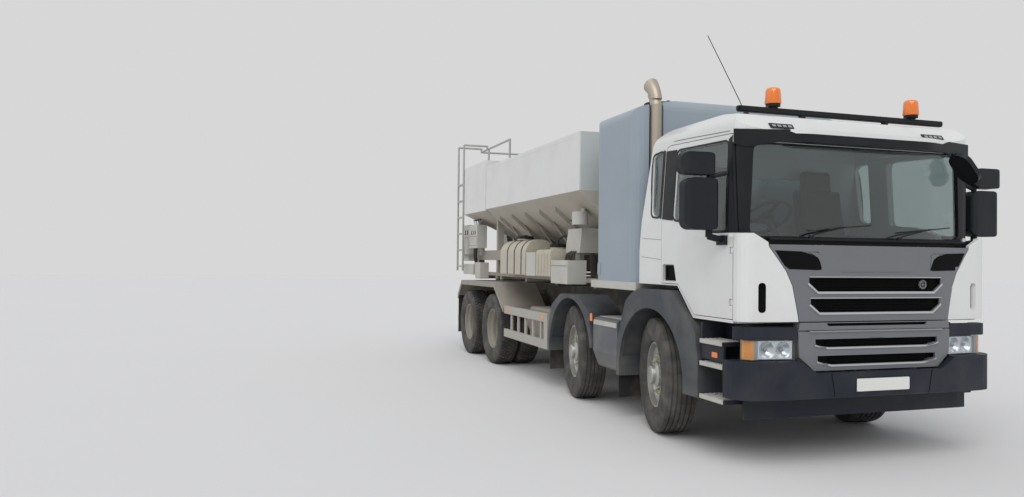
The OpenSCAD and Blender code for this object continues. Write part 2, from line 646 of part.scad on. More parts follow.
// Corner panels run from the door seam round to the grille
function front_plan(t) = let (g = grille_x - t, y = cab_y - t) rounded([[seam_x + 5, y, 0], [g - 62, y, 105],
    [g - 40, 950, 300], [g, 620, 900], [g, -620, 900], [g - 40, -950, 300], [g - 62, -y, 105],
    [seam_x + 5, -y, 0]], 5);
corner_low = 1118;
corner_top = 1790;
module front_skin(t1, t2, z1, z2) difference() {
    along_z(z1, z2, front_plan(t1));
    along_z(z1 - 1, z2 + 1, concat([[1200, cab_y]], front_plan(t2), [[1200, -cab_y]]));
}
// Half outline (y, z) of the upper grille; g grows it
function grille_edge(g) = concat([[980 + g, belt_z + 10 + g], [970 + g, 1690], [900 + g, 1600], [826 + g, 1500],
    [775 + g, 1390], [735 + g, 1200], [720 + g, corner_low - 1 - g]],
    flip([[-980 - g, belt_z + 10 + g], [-970 - g, 1690], [-900 - g, 1600], [-826 - g, 1500],
    [-775 - g, 1390], [-735 - g, 1200], [-720 - g, corner_low - 1 - g]]));
module corner_panels() color([0.9, 0.9, 0.88]) difference() {
    intersection() {
        front_skin(0, skin_t, corner_low, corner_top);
        along_x(1200, 1600, [[-1300, corner_low], [-1300, corner_top], [-1100, corner_top], [-960, 1712],
            [960, 1712], [1100, corner_top], [1300, corner_top], [1300, corner_low]]);
    }
    along_x(1200, 1600, grille_edge(panel_gap));
    both_sides() translate([1380, 1005, 1300]) rotate([0, 90, 35]) linear_extrude(200, center = true)
        polygon(rounded([[-115, -28, 27], [115, -28, 27], [115, 28, 27], [-115, 28, 27]], 3));
}

// Slots of the upper grille: low z, high z, half width at the top, half width at the bottom
slots = [[1350, 1455, 640, 560], [1190, 1293, 626, 545]];
slat_t = 5;
slot_depth = 34;
hatch_t = 60;
module slot_cut(s, depth) along_x(grille_x - depth, grille_x + 50, [[-s[2], s[1]], [-s[2], s[1] - 45],
    [-s[3], s[0]], [s[3], s[0]], [s[2], s[1] - 45], [s[2], s[1]]]);
module slot_slats(s, n, depth) for (i = [1:n])
    block([grille_x - depth - 1, -s[3], s[0] + i * (s[1] - s[0]) / (n + 1) - slat_t / 2],
        [grille_x - depth + 14, s[3], s[0] + i * (s[1] - s[0]) / (n + 1) + slat_t / 2]);
hatch_top = 1706;
hatch_back = hatch_pin[0] + 3;
module grille_hatch() color([0.52, 0.53, 0.54]) {
    difference() {
        intersection() {
            front_skin(0, hatch_t, corner_low + 2, hatch_top);
            along_x(1200, 1600, grille_edge(0));
        }
        for (s = slots) slot_cut(s, slot_depth);
        both_sides() along_x(grille_x - 75, grille_x + 50, rounded([[545, 1655, 12], [560, 1525, 30],
            [790, 1518, 20], [905, 1650, 12]], 3));
        block([grille_x - 2 * hatch_t, -cab_y, 0], [hatch_back, cab_y, big]);
        for (y = [-hatch_arm_y, hatch_arm_y])
            block([hatch_back - 1, y - 24, hatch_pin[1] - 17], [hatch_pin[0] + 18, y + 24, hatch_top + 10]);
    }
    for (s = slots) slot_slats(s, 4, slot_depth);
    for (y = [-hatch_arm_y, hatch_arm_y]) {
        across(hatch_pin[0], y - 34, y + 34, hatch_pin[1], hatch_pin_r);
        for (e = [-36, 24]) across(hatch_pin[0], y + e, y + e + 12, hatch_pin[1], hatch_pin_r + 6);
    }
}

lower_slots = [[923, 985, 590, 470], [789, 857, 570, 440]];
lower_low = 743;
lower_top = 1043;
module lower_grille() color([0.52, 0.53, 0.54]) {
    difference() {
        intersection() {
            front_skin(-10, 70, lower_low, corner_low - panel_gap);
            along_x(1200, 1600, [[-720, corner_low], [-735, lower_top], [-725, 850], [-600, lower_low],
                [600, lower_low], [725, 850], [735, lower_top], [720, corner_low]]);
        }
        for (s = lower_slots) slot_cut(s, slot_depth);
        along_x(grille_x - 20, grille_x + 50, [[-490, 1106], [-470, 1084], [470, 1084], [490, 1106]]);
        block([grille_x - 14, -800, lower_top], [grille_x + 50, 800, lower_top + 12]);
    }
    for (s = lower_slots) slot_slats(s, 3, slot_depth);
    // arms back to the front cross member
    for (y = [-250, 250]) block([frame_front - 60 + cross_w / 2 + seat_gap, y - 25, frame_top - 120],
        [grille_x - 60, y + 25, frame_top - 40]);
}

bumper_low = 532;
bumper_top = 822;
bumper_t = 60;
bumper_back = 1226;
lamp_pad_low = 984;
lamp_pad_top = 1078;
function bumper_plan(t) = let (y = bumper_y - t, x = front_reach - t) rounded([[bumper_back, y, 0], [x - 90, y, 180],
    [x - 30, 800, 400], [x, 440, 900], [x, -440, 900], [x - 30, -800, 400], [x - 90, -y, 180], [bumper_back, -y, 0]], 5);
module bumper() color([0.27, 0.31, 0.38]) {
    difference() {
        intersection() {
            along_z(bumper_low, bumper_top, bumper_plan(0));
            along_y(-big, big, rounded([[1120, bumper_low, 0], [front_reach, bumper_low, 45],
                [front_reach, bumper_top, 50], [1120, bumper_top, 0]], 4));
        }
        along_z(bumper_low - 1, bumper_top + 1, concat([[1100, bumper_y - bumper_t]], bumper_plan(bumper_t),
            [[1100, bumper_t - bumper_y]]));
        along_x(1100, 1600, [[-745, bumper_top + 1], [-745, 850], [-740, 815], [-600, lower_low - 12],
            [600, lower_low - 12], [740, 815], [745, 850], [745, bumper_top + 1]]);
    }
    both_sides() intersection() {
        along_z(lamp_pad_low, lamp_pad_top, front_plan(-6));
        difference() {
            along_z(lamp_pad_low - 1, lamp_pad_top + 1, [[1190, 745], [1500, 745], [1500, 1300], [1190, 1300]]);
            along_z(lamp_pad_low - 2, lamp_pad_top + 2, [[1100, 700], [1330, 700], [1330, 1080], [1230, 1150],
                [1100, 1150]]);
        }
    }
    // shelves under the headlamps, and arms back to the rails
    both_sides() intersection() {
        along_z(bumper_top - 22, bumper_top, bumper_plan(10));
        block([1200, 746, 700], [1500, bumper_y, 900]);
    }
    front_guard();
    both_sides() along_y(rail_y - 14, rail_y, [[frame_front + seat_gap, 610], [front_reach - bumper_t + 2, 610],
        [front_reach - bumper_t + 2, 715], [frame_front + 44, 715], [frame_front + 44, frame_top - 10],
        [frame_front + seat_gap, frame_top - 10]]);
}
// Bar below the bumper, hung from the bumper's arms
guard_z = 430;
module front_guard() {
    along_z(guard_z - 70, guard_z + 70, sheet_plan([[-1090, 1277], [-1000, 1286], [-600, 1290], [600, 1290],
        [1000, 1286], [1090, 1277]], 50));
    both_sides() block([1245, rail_y - 60, guard_z], [1275, rail_y, 612]);
}
// Plan of a bar of even depth behind a row of [y, x] points
function sheet_plan(pts, depth) = concat([for (p = pts) [p[1], p[0]]],
    flip([for (p = pts) [p[1] - depth, p[0] * 0.985]]));
module headlamps() color([0.85, 0.86, 0.86]) both_sides() intersection() {
    along_z(bumper_top + seat_gap, lamp_pad_low - seat_gap, front_plan(4));
    along_z(0, 2000, [[1190, 748], [1500, 748], [1500, 1000], [1330, 1185], [1190, 1185]]);
    along_z(0, 2000, [[1290, 700], [1500, 700], [1500, 1300], [1200, 1300], [1200, 1130]]);
}

// Steps below the door: side plates and three treads, low z and reach of each
step_front = 1215;
step_back = 870;
module cab_steps() color([0.3, 0.33, 0.38]) both_sides() {
    inner = 1000;
    // top of tread, front end
    for (s = [[945, step_front - 20], [765, step_front - 10], [500, step_front]])
        block([step_back, inner, s[0] - 34], [s[1], cab_y + 30, s[0]]);
    along_y(inner - 14, inner + 1, [[step_back, 470], [step_front, 470], [step_front, 1075], [step_back, 1075]]);
    along_y(cab_y - 4, cab_y + 14, [[step_back, 790], [step_front - 30, 790], [step_front - 25, 912], [step_back, 912]]);
    block([step_back, inner, 912], [step_back + 20, cab_y + 20, 1080]);
    block([frame_front - 160, rail_y + seat_gap, frame_top - 110], [frame_front - 100, inner - 13, frame_top - 60]);
}

// Wings over the steered wheels: a sculpted outside round a true wheel arch
arch_r = 615;
wing_in = 860;
wing_out = 1238;
function arch_pts(from, to) = flip(arc([0, tyre_r], arch_r, from, to, 20));
module steer_wings() color([0.33, 0.37, 0.43]) both_sides() {
    wing_body(rounded([[-675, 440, 0], [-668, 760, 60], [-480, 1190, 120], [-330, 1272, 60], [-200, 1312, 60], [420, 1318, 130],
        [800, 1010, 120], [852, 760, 0], [852, 465, 0]], 5), 354, 188);
    translate([axle2_x, 0, 0]) wing_body(rounded([[-655, 470, 0], [-655, 700, 0], [-560, 1030, 120],
        [-260, 1180, 150], [260, 1180, 150], [560, 1030, 120], [655, 700, 0], [655, 640, 0]], 5), 370, 185);
    // stays to the rails
    for (x = [0, axle2_x]) block([x - 650, rail_y + seat_gap, frame_low + 2], [x - 622, wing_in + 1, frame_low + 38]);
}
// The outline is closed by the arch, from its rear angle round the top to its front angle
module wing_body(outer, front, rear) difference() {
    along_y(wing_in, wing_out, concat(outer, arc([0, tyre_r], arch_r, front - 360, rear, 24)));
    along_y(wing_in + 14, wing_out - 40, concat([[-200, tyre_r]], arc([0, tyre_r], arch_r + 14, 170, 20, 16), [[200, tyre_r]]));
}

// Wings over the bogie: a folded plate with a deep outer lip
rear_wing_top = 1228;
rear_wing_t = 22;
function rear_wing_line() = [[axle3_x + 650, 890], [axle3_x + 170, rear_wing_top], [axle4_x - 400, rear_wing_top - 15],
    [axle4_x - 655, 960]];
module rear_wings() color([0.62, 0.6, 0.56]) both_sides() {
    along_y(590, 1250, sheet(rear_wing_line(), rear_wing_t));
    along_y(1236, 1250, sheet(rear_wing_line(), 75));
    for (x = [axle3_x + 90, trunnion_x + 180, axle4_x - 280])
        block([x - 25, rail_y + seat_gap, rear_wing_top - 110], [x + 25, 640, rear_wing_top - 15]);
}

// Flaps behind the wheels: x, low z, high z, inner y, outer y
module mud_flaps() color([0.12, 0.12, 0.12]) both_sides() {
    block([-672, 930, 215], [-660, 1210, 440 - seat_gap]);
    block([axle2_x - 652, 900, 240], [axle2_x - 640, 1210, 470 - seat_gap]);
    block([axle4_x - 655 - 14 - seat_gap, 620, 300], [axle4_x - 655 - seat_gap, 1230, 958]);
}

// Boxes between the first and second axles
locker_back = axle2_x + 665;
locker_front = -685;
module side_lockers() color([0.42, 0.44, 0.47]) both_sides() {
    along_x(locker_back, locker_front, rounded([[560, 470, 30], [1150, 440, 60], [1222, 620, 40], [1222, 960, 20],
        [1160, 975, 0], [560, 975, 0]], 4));
    block([locker_back + 165, rail_y + seat_gap, 890], [locker_front - 145, 561, 960]);
}

// Side guards: two rails on posts, hung from the chassis by arms
guard_front = axle2_x - 700;
guard_back = axle3_x + 665;
module side_guards() color([0.68, 0.66, 0.62]) both_sides() {
    for (z = [800, 470]) block([guard_back, 1196, z], [guard_front - 120 - seat_gap, 1236, z + 110]);
    block([guard_front - 120, 1196, 470], [guard_front, 1236, 910]);
    for (i = [1:5])
        block([guard_back + i * 300 - 25, 1200, 580 + seat_gap], [guard_back + i * 300 + 25, 1225, 800 - seat_gap]);
    for (x = [guard_back + 60, guard_front - 200])
        block([x - 30, rail_y + seat_gap, 820], [x + 30, 1196 - seat_gap, 880]);
}

// Fuel tank on the left, boxes and an air tank on the right, behind the guards
tank_in = 500;
module chassis_tanks() color([0.6, 0.59, 0.56]) {
    back = guard_back + 250;
    front = guard_front - 260;
    along_x(back, front, rounded([[tank_in, 440, 60], [1130, 440, 120], [1130, 960, 120], [tank_in, 960, 60]], 5));
    along_x(back + 500, front, rounded([[-1100, 450, 40], [-tank_in, 450, 40], [-tank_in, 940, 40], [-1100, 940, 40]], 4));
    translate([back + 440, -820, 700]) rotate([0, -90, 0]) cylinder(r = 160, h = 420);
    for (s = [-1, 1], x = [back + 120, front - 200])
        block([x - 30, s > 0 ? rail_y + seat_gap : -tank_in - 190, 780], [x + 30, s > 0 ? tank_in + 20 : -rail_y - seat_gap, 860]);
    for (x = [front - 330, front - 130]) translate([x, -800, 939]) cylinder(r = 60, h = 40);
}

// BODY

deck_z = frame_top + seat_gap + subframe_h;
tank_back = tank_front - tank_len;
stack_x = tank_front - 10;
stack_y = -966;
stack_r = 57;
module water_tank() color([0.72, 0.76, 0.8]) {
    low = tray_z + tray_h;
    edge = tank_top - 110;
    difference() {
        intersection() {
            along_z(low + seat_gap, tank_top + 10, rounded([[tank_back, -body_y, 170], [tank_front, -body_y, 140],
                [tank_front, body_y, 140], [tank_back, body_y, 170]], 6));
            along_x(tank_back - 1, tank_front + 1, rounded([[-body_y - 1, low, 0], [-body_y - 1, edge, 130],
                [-700, tank_top, 600], [700, tank_top, 600], [body_y + 1, edge, 130], [body_y + 1, low, 0]], 5));
            along_y(-body_y - 1, body_y + 1, rounded([[tank_back, low, 0], [tank_back, tank_top, 120],
                [tank_front, tank_top, 120], [tank_front, low, 0]], 5));
        }
        translate([stack_x, stack_y, 0]) cylinder(r = stack_r + 20, h = 4000);
    }
    for (y = [-700, 700]) translate([(tank_back + tank_front) / 2, y, tank_top - 60]) cylinder(r = 130, h = 85);
}
module exhaust_stack() color([0.6, 0.55, 0.48]) translate([stack_x, stack_y, 0]) {
    bend = [for (p = [[0, tank_top - 80], [-18, tank_top - 18], [-62, tank_top + 38]]) [p[0], 0, p[1]]];
    translate([0, 0, tray_z + tray_h + seat_gap]) cylinder(r = stack_r, h = bend[0][2] - tray_z - tray_h);
    for (i = [0, 1]) {
        bar(bend[i], bend[i + 1], stack_r - 1 - i);
        translate(bend[i]) sphere(r = stack_r + 1);
    }
}

// Tray under the water tank, rails on the chassis, frames under the bins
bin_back = bin_front - bin_len;
cement_front = bin_back - 30;
cement_back = cement_front - cement_len;
sill_y = 900;
strut_xs = [for (i = [0:4]) bin_back + 290 + i * 590];
module body_subframe() color([0.72, 0.7, 0.66]) {
    both_sides() {
        block([-frame_back + 40, flange_y, frame_top + seat_gap], [-480, rail_y, deck_z]);
        sill();
        for (x = strut_xs) strut(x + 30);
        for (x = bearer_xs) bin_frame(x);
    }
    tray();
    for (x = concat(bearer_xs, cement_xs))
        block([x - 40, -sill_y - 60, deck_z + seat_gap], [x + 40, sill_y + 60, bearer_top]);
}
module tray() difference() {
    block([tank_back - 45, -body_y, tray_z], [tank_front + 50, body_y, tray_z + tray_h]);
    block([tank_back - 20, -body_y + 25, tray_z - 1], [tank_front + 25, body_y - 25, tray_z + tray_h - 12]);
}
bearer_xs = [bin_front - 90, bin_front - 1300, bin_front - 2500, bin_back + 60];
cement_xs = [cement_front - 160, cement_back + 60];
bearer_top = deck_z + seat_gap + 70;
deck_top = 1360;
deck_out = sill_y + 60;
angle_y = 690;
angle_z = 1742;
sill_low = 1560;
sill_top = 1720;
// Deck bar, sill, uprights and the angle under the hopper on each side
module sill() {
    for (x = [tank_back + 60, tank_front - 100])
        block([x - 50, flange_y, deck_z + seat_gap], [x + 50, rail_y, tray_z + tray_h - 12 - seat_gap]);
    block([cement_back, sill_y - 40, bearer_top + seat_gap], [bin_front - 50, deck_out, deck_top]);
    block([cement_back - 60, sill_y - 60, sill_low], [bin_back + 260, deck_out, sill_top]);
    for (x = cement_xs)
        block([x - 35, sill_y - 50, deck_top + seat_gap], [x + 35, sill_y + 50, sill_low - seat_gap]);
    for (x = bearer_xs)
        block([x - 20, angle_y - 20, bearer_top + seat_gap], [x + 20, angle_y + 20, angle_z - seat_gap]);
    block([bin_back + 20, angle_y - 20, angle_z], [bin_front - 60, angle_y + 20, angle_z + 10]);
    block([bin_back + 20, angle_y + 10, angle_z], [bin_front - 60, angle_y + 20, angle_z + 46]);
}
function slope_z(y) = throat_z + (bin_eave - throat_z) * (y - throat_y) / (body_y - throat_y);
// Plate frame under the hopper's slope, from its bearer
foot_z = bearer_top + seat_gap;
frame_out = angle_y - 20 - seat_gap;
module bin_frame(x) along_x(x - 8, x + 8, [[410, foot_z], [480, foot_z], [480, slope_z(480) - 90],
    [610, slope_z(610) - 110], [610, foot_z], [frame_out, foot_z], [frame_out, slope_z(frame_out) - slope_gap],
    [410, slope_z(410) - slope_gap]]);
strut_r = 14;
module strut(x) {
    top_y = 860;
    bar([x, top_y, slope_z(top_y) - 0.93 * (strut_r + seat_gap) / cos(slope)],
        [x + 120, angle_y + 6, angle_z + 46 + seat_gap + 0.6 * strut_r], strut_r);
}

rim_w = 50;
slope = atan2(bin_eave - throat_z, body_y - throat_y);
wall_run = bin_wall / sin(slope);
slope_gap = seat_gap / cos(slope);
function mirrored(half) = concat(half, flip([for (p = half) [-p[0], p[1]]]));
module aggregate_bin() color([0.86, 0.86, 0.84]) {
    difference() {
        along_x(bin_back, bin_front, mirrored([[throat_y, throat_z], [body_y, bin_eave], [body_y, bin_top]]));
        along_x(bin_back + bin_wall, bin_front - bin_wall, mirrored([[throat_y - wall_run - 5, throat_z - 5 * tan(slope)],
            [body_y - bin_wall, slope_z(body_y - bin_wall + wall_run)], [body_y - bin_wall, bin_top + 9]]));
    }
    // rolled top rim and the wall between sand and stone
    difference() {
        block([bin_back, -body_y - 2, bin_top - rim_w], [bin_front, body_y + 2, bin_top]);
        block([bin_back + rim_w, -body_y + rim_w, bin_top - rim_w - 1], [bin_front - rim_w, body_y - rim_w, bin_top + 1]);
    }
    block([bin_back + bin_wall - 1, -bin_wall / 2, throat_z + 40], [bin_front - bin_wall + 1, bin_wall / 2, bin_top - 60]);
    // ribs on the slopes
    both_sides() for (x = strut_xs) along_x(x - 6, x + 6, [[620, slope_z(620) - slope_gap], [620, slope_z(620) - 60],
        [1060, slope_z(1060) - 60], [1060, slope_z(1060) - slope_gap]]);
}

hopper_low = 1900;
feeder_low = throat_z - 8;
module cement_bin() color([0.88, 0.88, 0.86]) {
    mid = (cement_front + cement_back) / 2;
    difference() {
        union() {
            block([cement_back, -body_y, bin_eave - 20], [cement_front, body_y, cement_top]);
            intersection() {
                along_x(cement_back, cement_front, [[-body_y, bin_eave - 19], [-320, hopper_low], [320, hopper_low],
                    [body_y, bin_eave - 19]]);
                along_y(-body_y, body_y, [[cement_back, bin_eave - 19], [cement_back + 320, hopper_low],
                    [cement_front - 320, hopper_low], [cement_front, bin_eave - 19]]);
            }
            translate([mid, 0, cement_top - 1]) cylinder(r = fill_r, h = 46);
            both_sides() for (x = cement_xs)
                block([x - 35, sill_y - 50, sill_top + seat_gap], [x + 35, sill_y + 50, bin_eave - 10]);
        }
        for (i = [0:fill_bolts - 1]) rotate_about(mid, i * 360 / fill_bolts)
            translate([mid + fill_pcd / 2, 0, cement_top + 5]) cylinder(r = fill_hole_r, h = 50);
    }
    // screw feeder below the bin
    translate([mid, 0, feeder_low]) cylinder(r = 180, h = hopper_low - feeder_low + 2);
}
fill_r = 240;
fill_pcd = 400;
fill_bolts = 8;
fill_hole_r = 7;
module rotate_about(x, a) translate([x, 0, 0]) rotate([0, 0, a]) translate([-x, 0, 0]) children();

// Belt under the throat: side plates, belt and end drums
belt_half = throat_y - 30;
belt_mid = 1490;
conveyor_front = bin_front - 60;
conveyor_back = slew_x + 380;
drum_h = 75;
module conveyor() color([0.2, 0.2, 0.2]) {
    both_sides() block([conveyor_back, belt_half + 6, belt_mid - 60],
        [conveyor_front, belt_half + 20, throat_z - seat_gap]);
    along_y(-belt_half, belt_half, rounded([[conveyor_back, belt_mid - drum_h, drum_h - 1],
        [conveyor_back, belt_mid + drum_h, drum_h - 1], [conveyor_front, belt_mid + drum_h, drum_h - 1],
        [conveyor_front, belt_mid - drum_h, drum_h - 1]], 6));
    for (x = [conveyor_back + drum_h, conveyor_front - drum_h])
        across(x, seat_gap - belt_half - 6, belt_half + 6 - seat_gap, belt_mid, 20);
    for (x = concat(bearer_xs, cement_xs), s = [-1, 1]) block([x - 30, s * (belt_half + 13) - 7, foot_z],
        [x + 30, s * (belt_half + 13) + 7, belt_mid - 60 - seat_gap]);
}

// Tanks and boxes on the decks: back end, front end, inner y, outer y, low z, high z, corner radius
tank_1 = [-4760, -3620, 770, 1190, deck_top + seat_gap, 1850, 190];
tank_2 = [-3200, -2670, 790, 1190, deck_top + seat_gap, 1705, 50];
module rounded_tank(b) along_x(b[0], b[1], rounded([[b[2], b[4], 20], [b[3], b[4], 20], [b[3], b[5], b[6]],
    [b[2], b[5], b[6]]], 6));
module admix_tanks() color([0.83, 0.8, 0.72]) {
    both_sides() rounded_tank(tank_1);
    mirror([0, 1, 0]) {
        rounded_tank(tank_2);
        for (x = [tank_2[0] + 90:110:tank_2[1] - 60])
            along_x(x - 12, x + 12, rounded([[775, 1400, 10], [1202, 1400, 10], [1202, 1670, 40], [775, 1670, 40]], 3));
        translate([(tank_2[0] + tank_2[1]) / 2, 980, 1704]) cylinder(r = 105, h = 50);
    }
    for (s = [-1, 1]) translate([tank_1[0] + 520, s * 980, 1849]) cylinder(r = 110, h = 40);
}
module control_boxes() color([0.87, 0.86, 0.82]) {
    // white box between the tanks, control box, meter box on its stand
    block([-3580, -1190, deck_top + seat_gap], [-3230, -790, 1670]);
    block([-2620, -1200, 1290], [-2080, -deck_out - seat_gap, 1570]);
    block([-2500, -930, deck_top + seat_gap], [-2360, -870, 1662]);
    along_y(-1000, -760, [[-2650, 1660], [-2200, 1660], [-2130, 1950], [-2560, 1950]]);
    translate([-2120, -1030, 1990]) cylinder(r = 95, h = 150);
    block([-2160, -1000, 2139], [-2080, -980, slope_z(980) - 1]);
    // rear control panel, rear cabinet, tool box and valve box
    block([-6800, -1130, 1760], [-6280, -deck_out - seat_gap, 2150]);
    block([-6600, -1000, 1640], [-6480, -deck_out - seat_gap, 1761]);
    block([cement_back - 380, -1100, 1540], [cement_back - 60 - seat_gap, -870, 2170]);
    block([-7200, -1120, 1310], [-6560, -deck_out - seat_gap, 1490]);
    block([-6450, -1110, 1250], [-6150, -deck_out - seat_gap, 1520]);
}

// Ladder beside the cement bin, and the rails along its roof
stile_r = 17;
ladder_w = 370;
ladder_y = body_y + 6;
ladder_low = 1370;
rung_step = 285;
rail_z = cement_top + 360;
module ladder_rails() color([0.75, 0.75, 0.73]) mirror([0, 1, 0]) {
    front = cement_back - 45;
    back = front - ladder_w;
    for (x = [front, back]) translate([x, ladder_y, ladder_low]) cylinder(r = stile_r, h = rail_z + 60 - ladder_low);
    for (z = [ladder_low + 60:rung_step:cement_top - 40])
        block([back, ladder_y - 16, z], [front, ladder_y + 16, z + 30]);
    across(front, ladder_y - 420, ladder_y, rail_z + 60, stile_r);
    across(back, ladder_y - 420, ladder_y, rail_z + 60, stile_r);
    for (z = [2500, 2950]) block([front - 10, body_y - 70, z], [cement_back - seat_gap, ladder_y, z + 40]);
    block([front - 14, deck_out + seat_gap, 1620], [front + 25, ladder_y, 1660]);
    // roof rails on the cement bin
    for (y = [ladder_y - 420, -body_y + 150]) {
        for (x = [cement_back + 60, cement_front - 60])
            translate([x, y, cement_top + seat_gap]) cylinder(r = stile_r, h = rail_z - cement_top);
        bar([back, y, rail_z], [cement_front - 60, y, rail_z], stile_r);
    }
    bar([back, -body_y + 150, rail_z], [back, ladder_y - 420, rail_z], stile_r);
    bar([front, ladder_y - 420, rail_z - 10], [front, ladder_y - 420, rail_z + 70], stile_r);
    bar([back, ladder_y - 420, rail_z - 10], [back, ladder_y - 420, rail_z + 70], stile_r);
}

// MIXING AUGER

// The lift cylinder runs from a lug on the slewing post to a lug under the trough
hinge = [slew_x, lift_z];
lug_u = 450;
lug_w = trough_r + 65;
foot_back = 200;
foot_down = 700;
foot = hinge - [foot_back, foot_down];
eye = hinge + [-lug_u * cos(stow_angle) - lug_w * sin(stow_angle), lug_u * sin(stow_angle) - lug_w * cos(stow_angle)];
lift_len = norm(eye - foot);
lift_angle = atan2(eye[1] - foot[1], foot[0] - eye[0]);
lift_pin_r = 18;
lift_eye_r = 38;
barrel_out = 48;
barrel_in = 36;
barrel_len = 520;
lug_t = 14;
lug_y = 30;
pin_drift = 27;
trunnion_pin_r = 25;
ear_y = trough_r + 15;
ear_t = 20;
slew_deck = slew_top + 30;

module turntable() color([0.55, 0.54, 0.52]) translate([slew_x, 0, 0]) {
    difference() {
        union() {
            intersection() {
                translate([0, 0, slew_top + seat_gap]) cylinder(r = ear_y + ear_t + 20, h = 30 - seat_gap);
                block([-ear_y + 15, -big, 0], [big, big, big]);
            }
            translate([0, 0, lift_z - foot_down - 60]) cylinder(r = post_r, h = slew_deck - lift_z + foot_down + 50);
            both_sides() along_y(ear_y, ear_y + ear_t, concat([[-120, slew_deck - 5], [120, slew_deck - 5]],
                arc([0, lift_z], 62, 15, 165, 8)));
            both_sides() along_y(lug_y, lug_y + lug_t, concat([[-20, lift_z - foot_down - 60],
                [-20, lift_z - foot_down + 50]],
                arc([-foot_back, lift_z - foot_down], 45, 90, 270, 10)));
        }
        across(0, -2 * ear_y, 2 * ear_y, lift_z, trunnion_pin_r + run_gap);
        across(-foot_back, -100, 100, lift_z - foot_down, lift_pin_r + run_gap);
    }
}
module on_trough() translate([slew_x, 0, lift_z]) rotate([0, stow_angle, 0]) rotate([0, 0, 180]) children();
function u_shape(r, top) = concat([[r, top]], arc([0, 0], r, 0, -180, 20), [[-r, top]]);
screw_shaft_r = 30;
end_t = 10;
cover_from = 620;
module trough() color([0.58, 0.57, 0.54]) on_trough() {
    inner = trough_r - trough_t;
    top = trough_r - 10;
    difference() {
        union() {
            along_x(-trough_tail, trough_len, u_shape(trough_r, top));
            block([cover_from, -trough_r - 10, top], [trough_len, trough_r + 10, top + 6]);
            translate([chute_u, 0, -chute_w]) cylinder(r = chute_r, h = chute_w);
            for (s = [-1, 1]) across(0, s > 0 ? inner : -ear_y - ear_t - 12, s > 0 ? ear_y + ear_t + 12 : -inner, 0,
                trunnion_pin_r);
            for (s = [-1, 1]) along_y(s > 0 ? lug_y : -lug_y - lug_t, s > 0 ? lug_y + lug_t : -lug_y,
                concat([[lug_u - 150, -trough_r + 12]], arc([lug_u, -lug_w], 75, 180, 360, 10),
                [[lug_u + 150, -trough_r + 12]]));
            translate([trough_len - 1, 0, 0]) rotate([0, 90, 0]) cylinder(r = 70, h = 60);
            both_sides() block([-trough_tail, trough_r - trough_t, top - 30], [-trough_tail + 330, trough_r + 20, top]);
        }
        along_x(-trough_tail + end_t, trough_len - end_t, concat([[inner, top - 0.01]],
            arc([0, 0], inner, 0, -180, 20), [[-inner, top - 0.01]]));
        block([-trough_tail + end_t, -inner, 0], [cover_from, inner, top + 1]);
        translate([chute_u, 0, -chute_w - 1]) cylinder(r = chute_r - trough_t, h = socket_len + 1);
        translate([chute_u, 0, -chute_w]) cylinder(r = chute_r - 2 * trough_t, h = chute_w - 1);
        translate([-trough_tail - 1, 0, 0]) rotate([0, 90, 0])
            cylinder(r = screw_shaft_r + run_gap, h = trough_tail + trough_len + 1);
        across(lug_u, -100, 100, -lug_w, lift_pin_r + pin_drift);
    }
}
flight_r = trough_r - trough_t - screw_gap;
flight_arc = 360 * flight_t / screw_pitch;
flight_from = -trough_tail + end_t + 12;
flight_len = trough_tail + chute_u;
module screw() color([0.5, 0.49, 0.47]) on_trough() {
    translate([-trough_tail - 12, 0, 0]) rotate([0, 90, 0])
        cylinder(r = screw_shaft_r, h = trough_tail + trough_len + 11);
    translate([flight_from, 0, 0]) rotate([0, 90, 0])
        linear_extrude(flight_len, twist = -360 * flight_len / screw_pitch, slices = round(16 * flight_len / screw_pitch),
            segments = 8)
            polygon(concat([[screw_shaft_r - 6, 0]], arc([0, 0], flight_r, 0, flight_arc, 2),
                [(screw_shaft_r - 6) * [cos(flight_arc), sin(flight_arc)]]));
}
// Drawn along z from the foot's pin, then leant back to the rod's eye
module on_lift() translate([foot[0], 0, foot[1]]) rotate([0, lift_angle - 90, 0]) children();
barrel_base = 54;
cap_t = 30;
eye_y = lug_y - 2;
module lift_eye(z) {
    across(0, -lug_y - lug_t - 8, lug_y + lug_t + 8, z, lift_pin_r);
    across(0, -eye_y, eye_y, z, lift_eye_r);
}
module lift_cylinder() color([0.35, 0.35, 0.36]) on_lift() {
    lift_eye(0);
    cylinder(r = eye_y - 2, h = barrel_base + 2);
    difference() {
        translate([0, 0, barrel_base]) cylinder(r = barrel_out, h = barrel_len - barrel_base);
        translate([0, 0, barrel_base + 12]) cylinder(r = barrel_in, h = barrel_len - cap_t - barrel_base - 12);
        translate([0, 0, barrel_len - cap_t - 1]) cylinder(r = lift_rod_r + run_gap, h = cap_t + 2);
    }
}
module lift_rod() color([0.78, 0.78, 0.78]) on_lift() {
    piston = barrel_len - cap_t - 33;
    translate([0, 0, piston]) cylinder(r = lift_rod_r, h = lift_len - piston - 20);
    translate([0, 0, piston]) cylinder(r = barrel_in - run_gap, h = 30);
    lift_eye(lift_len);
}

// CAB INTERIOR

seat_y = 560;
wheel_r = 215;
column_r = 28;
column_foot = [1060, -seat_y, 1650];
column_head = [806, -seat_y, 1940];
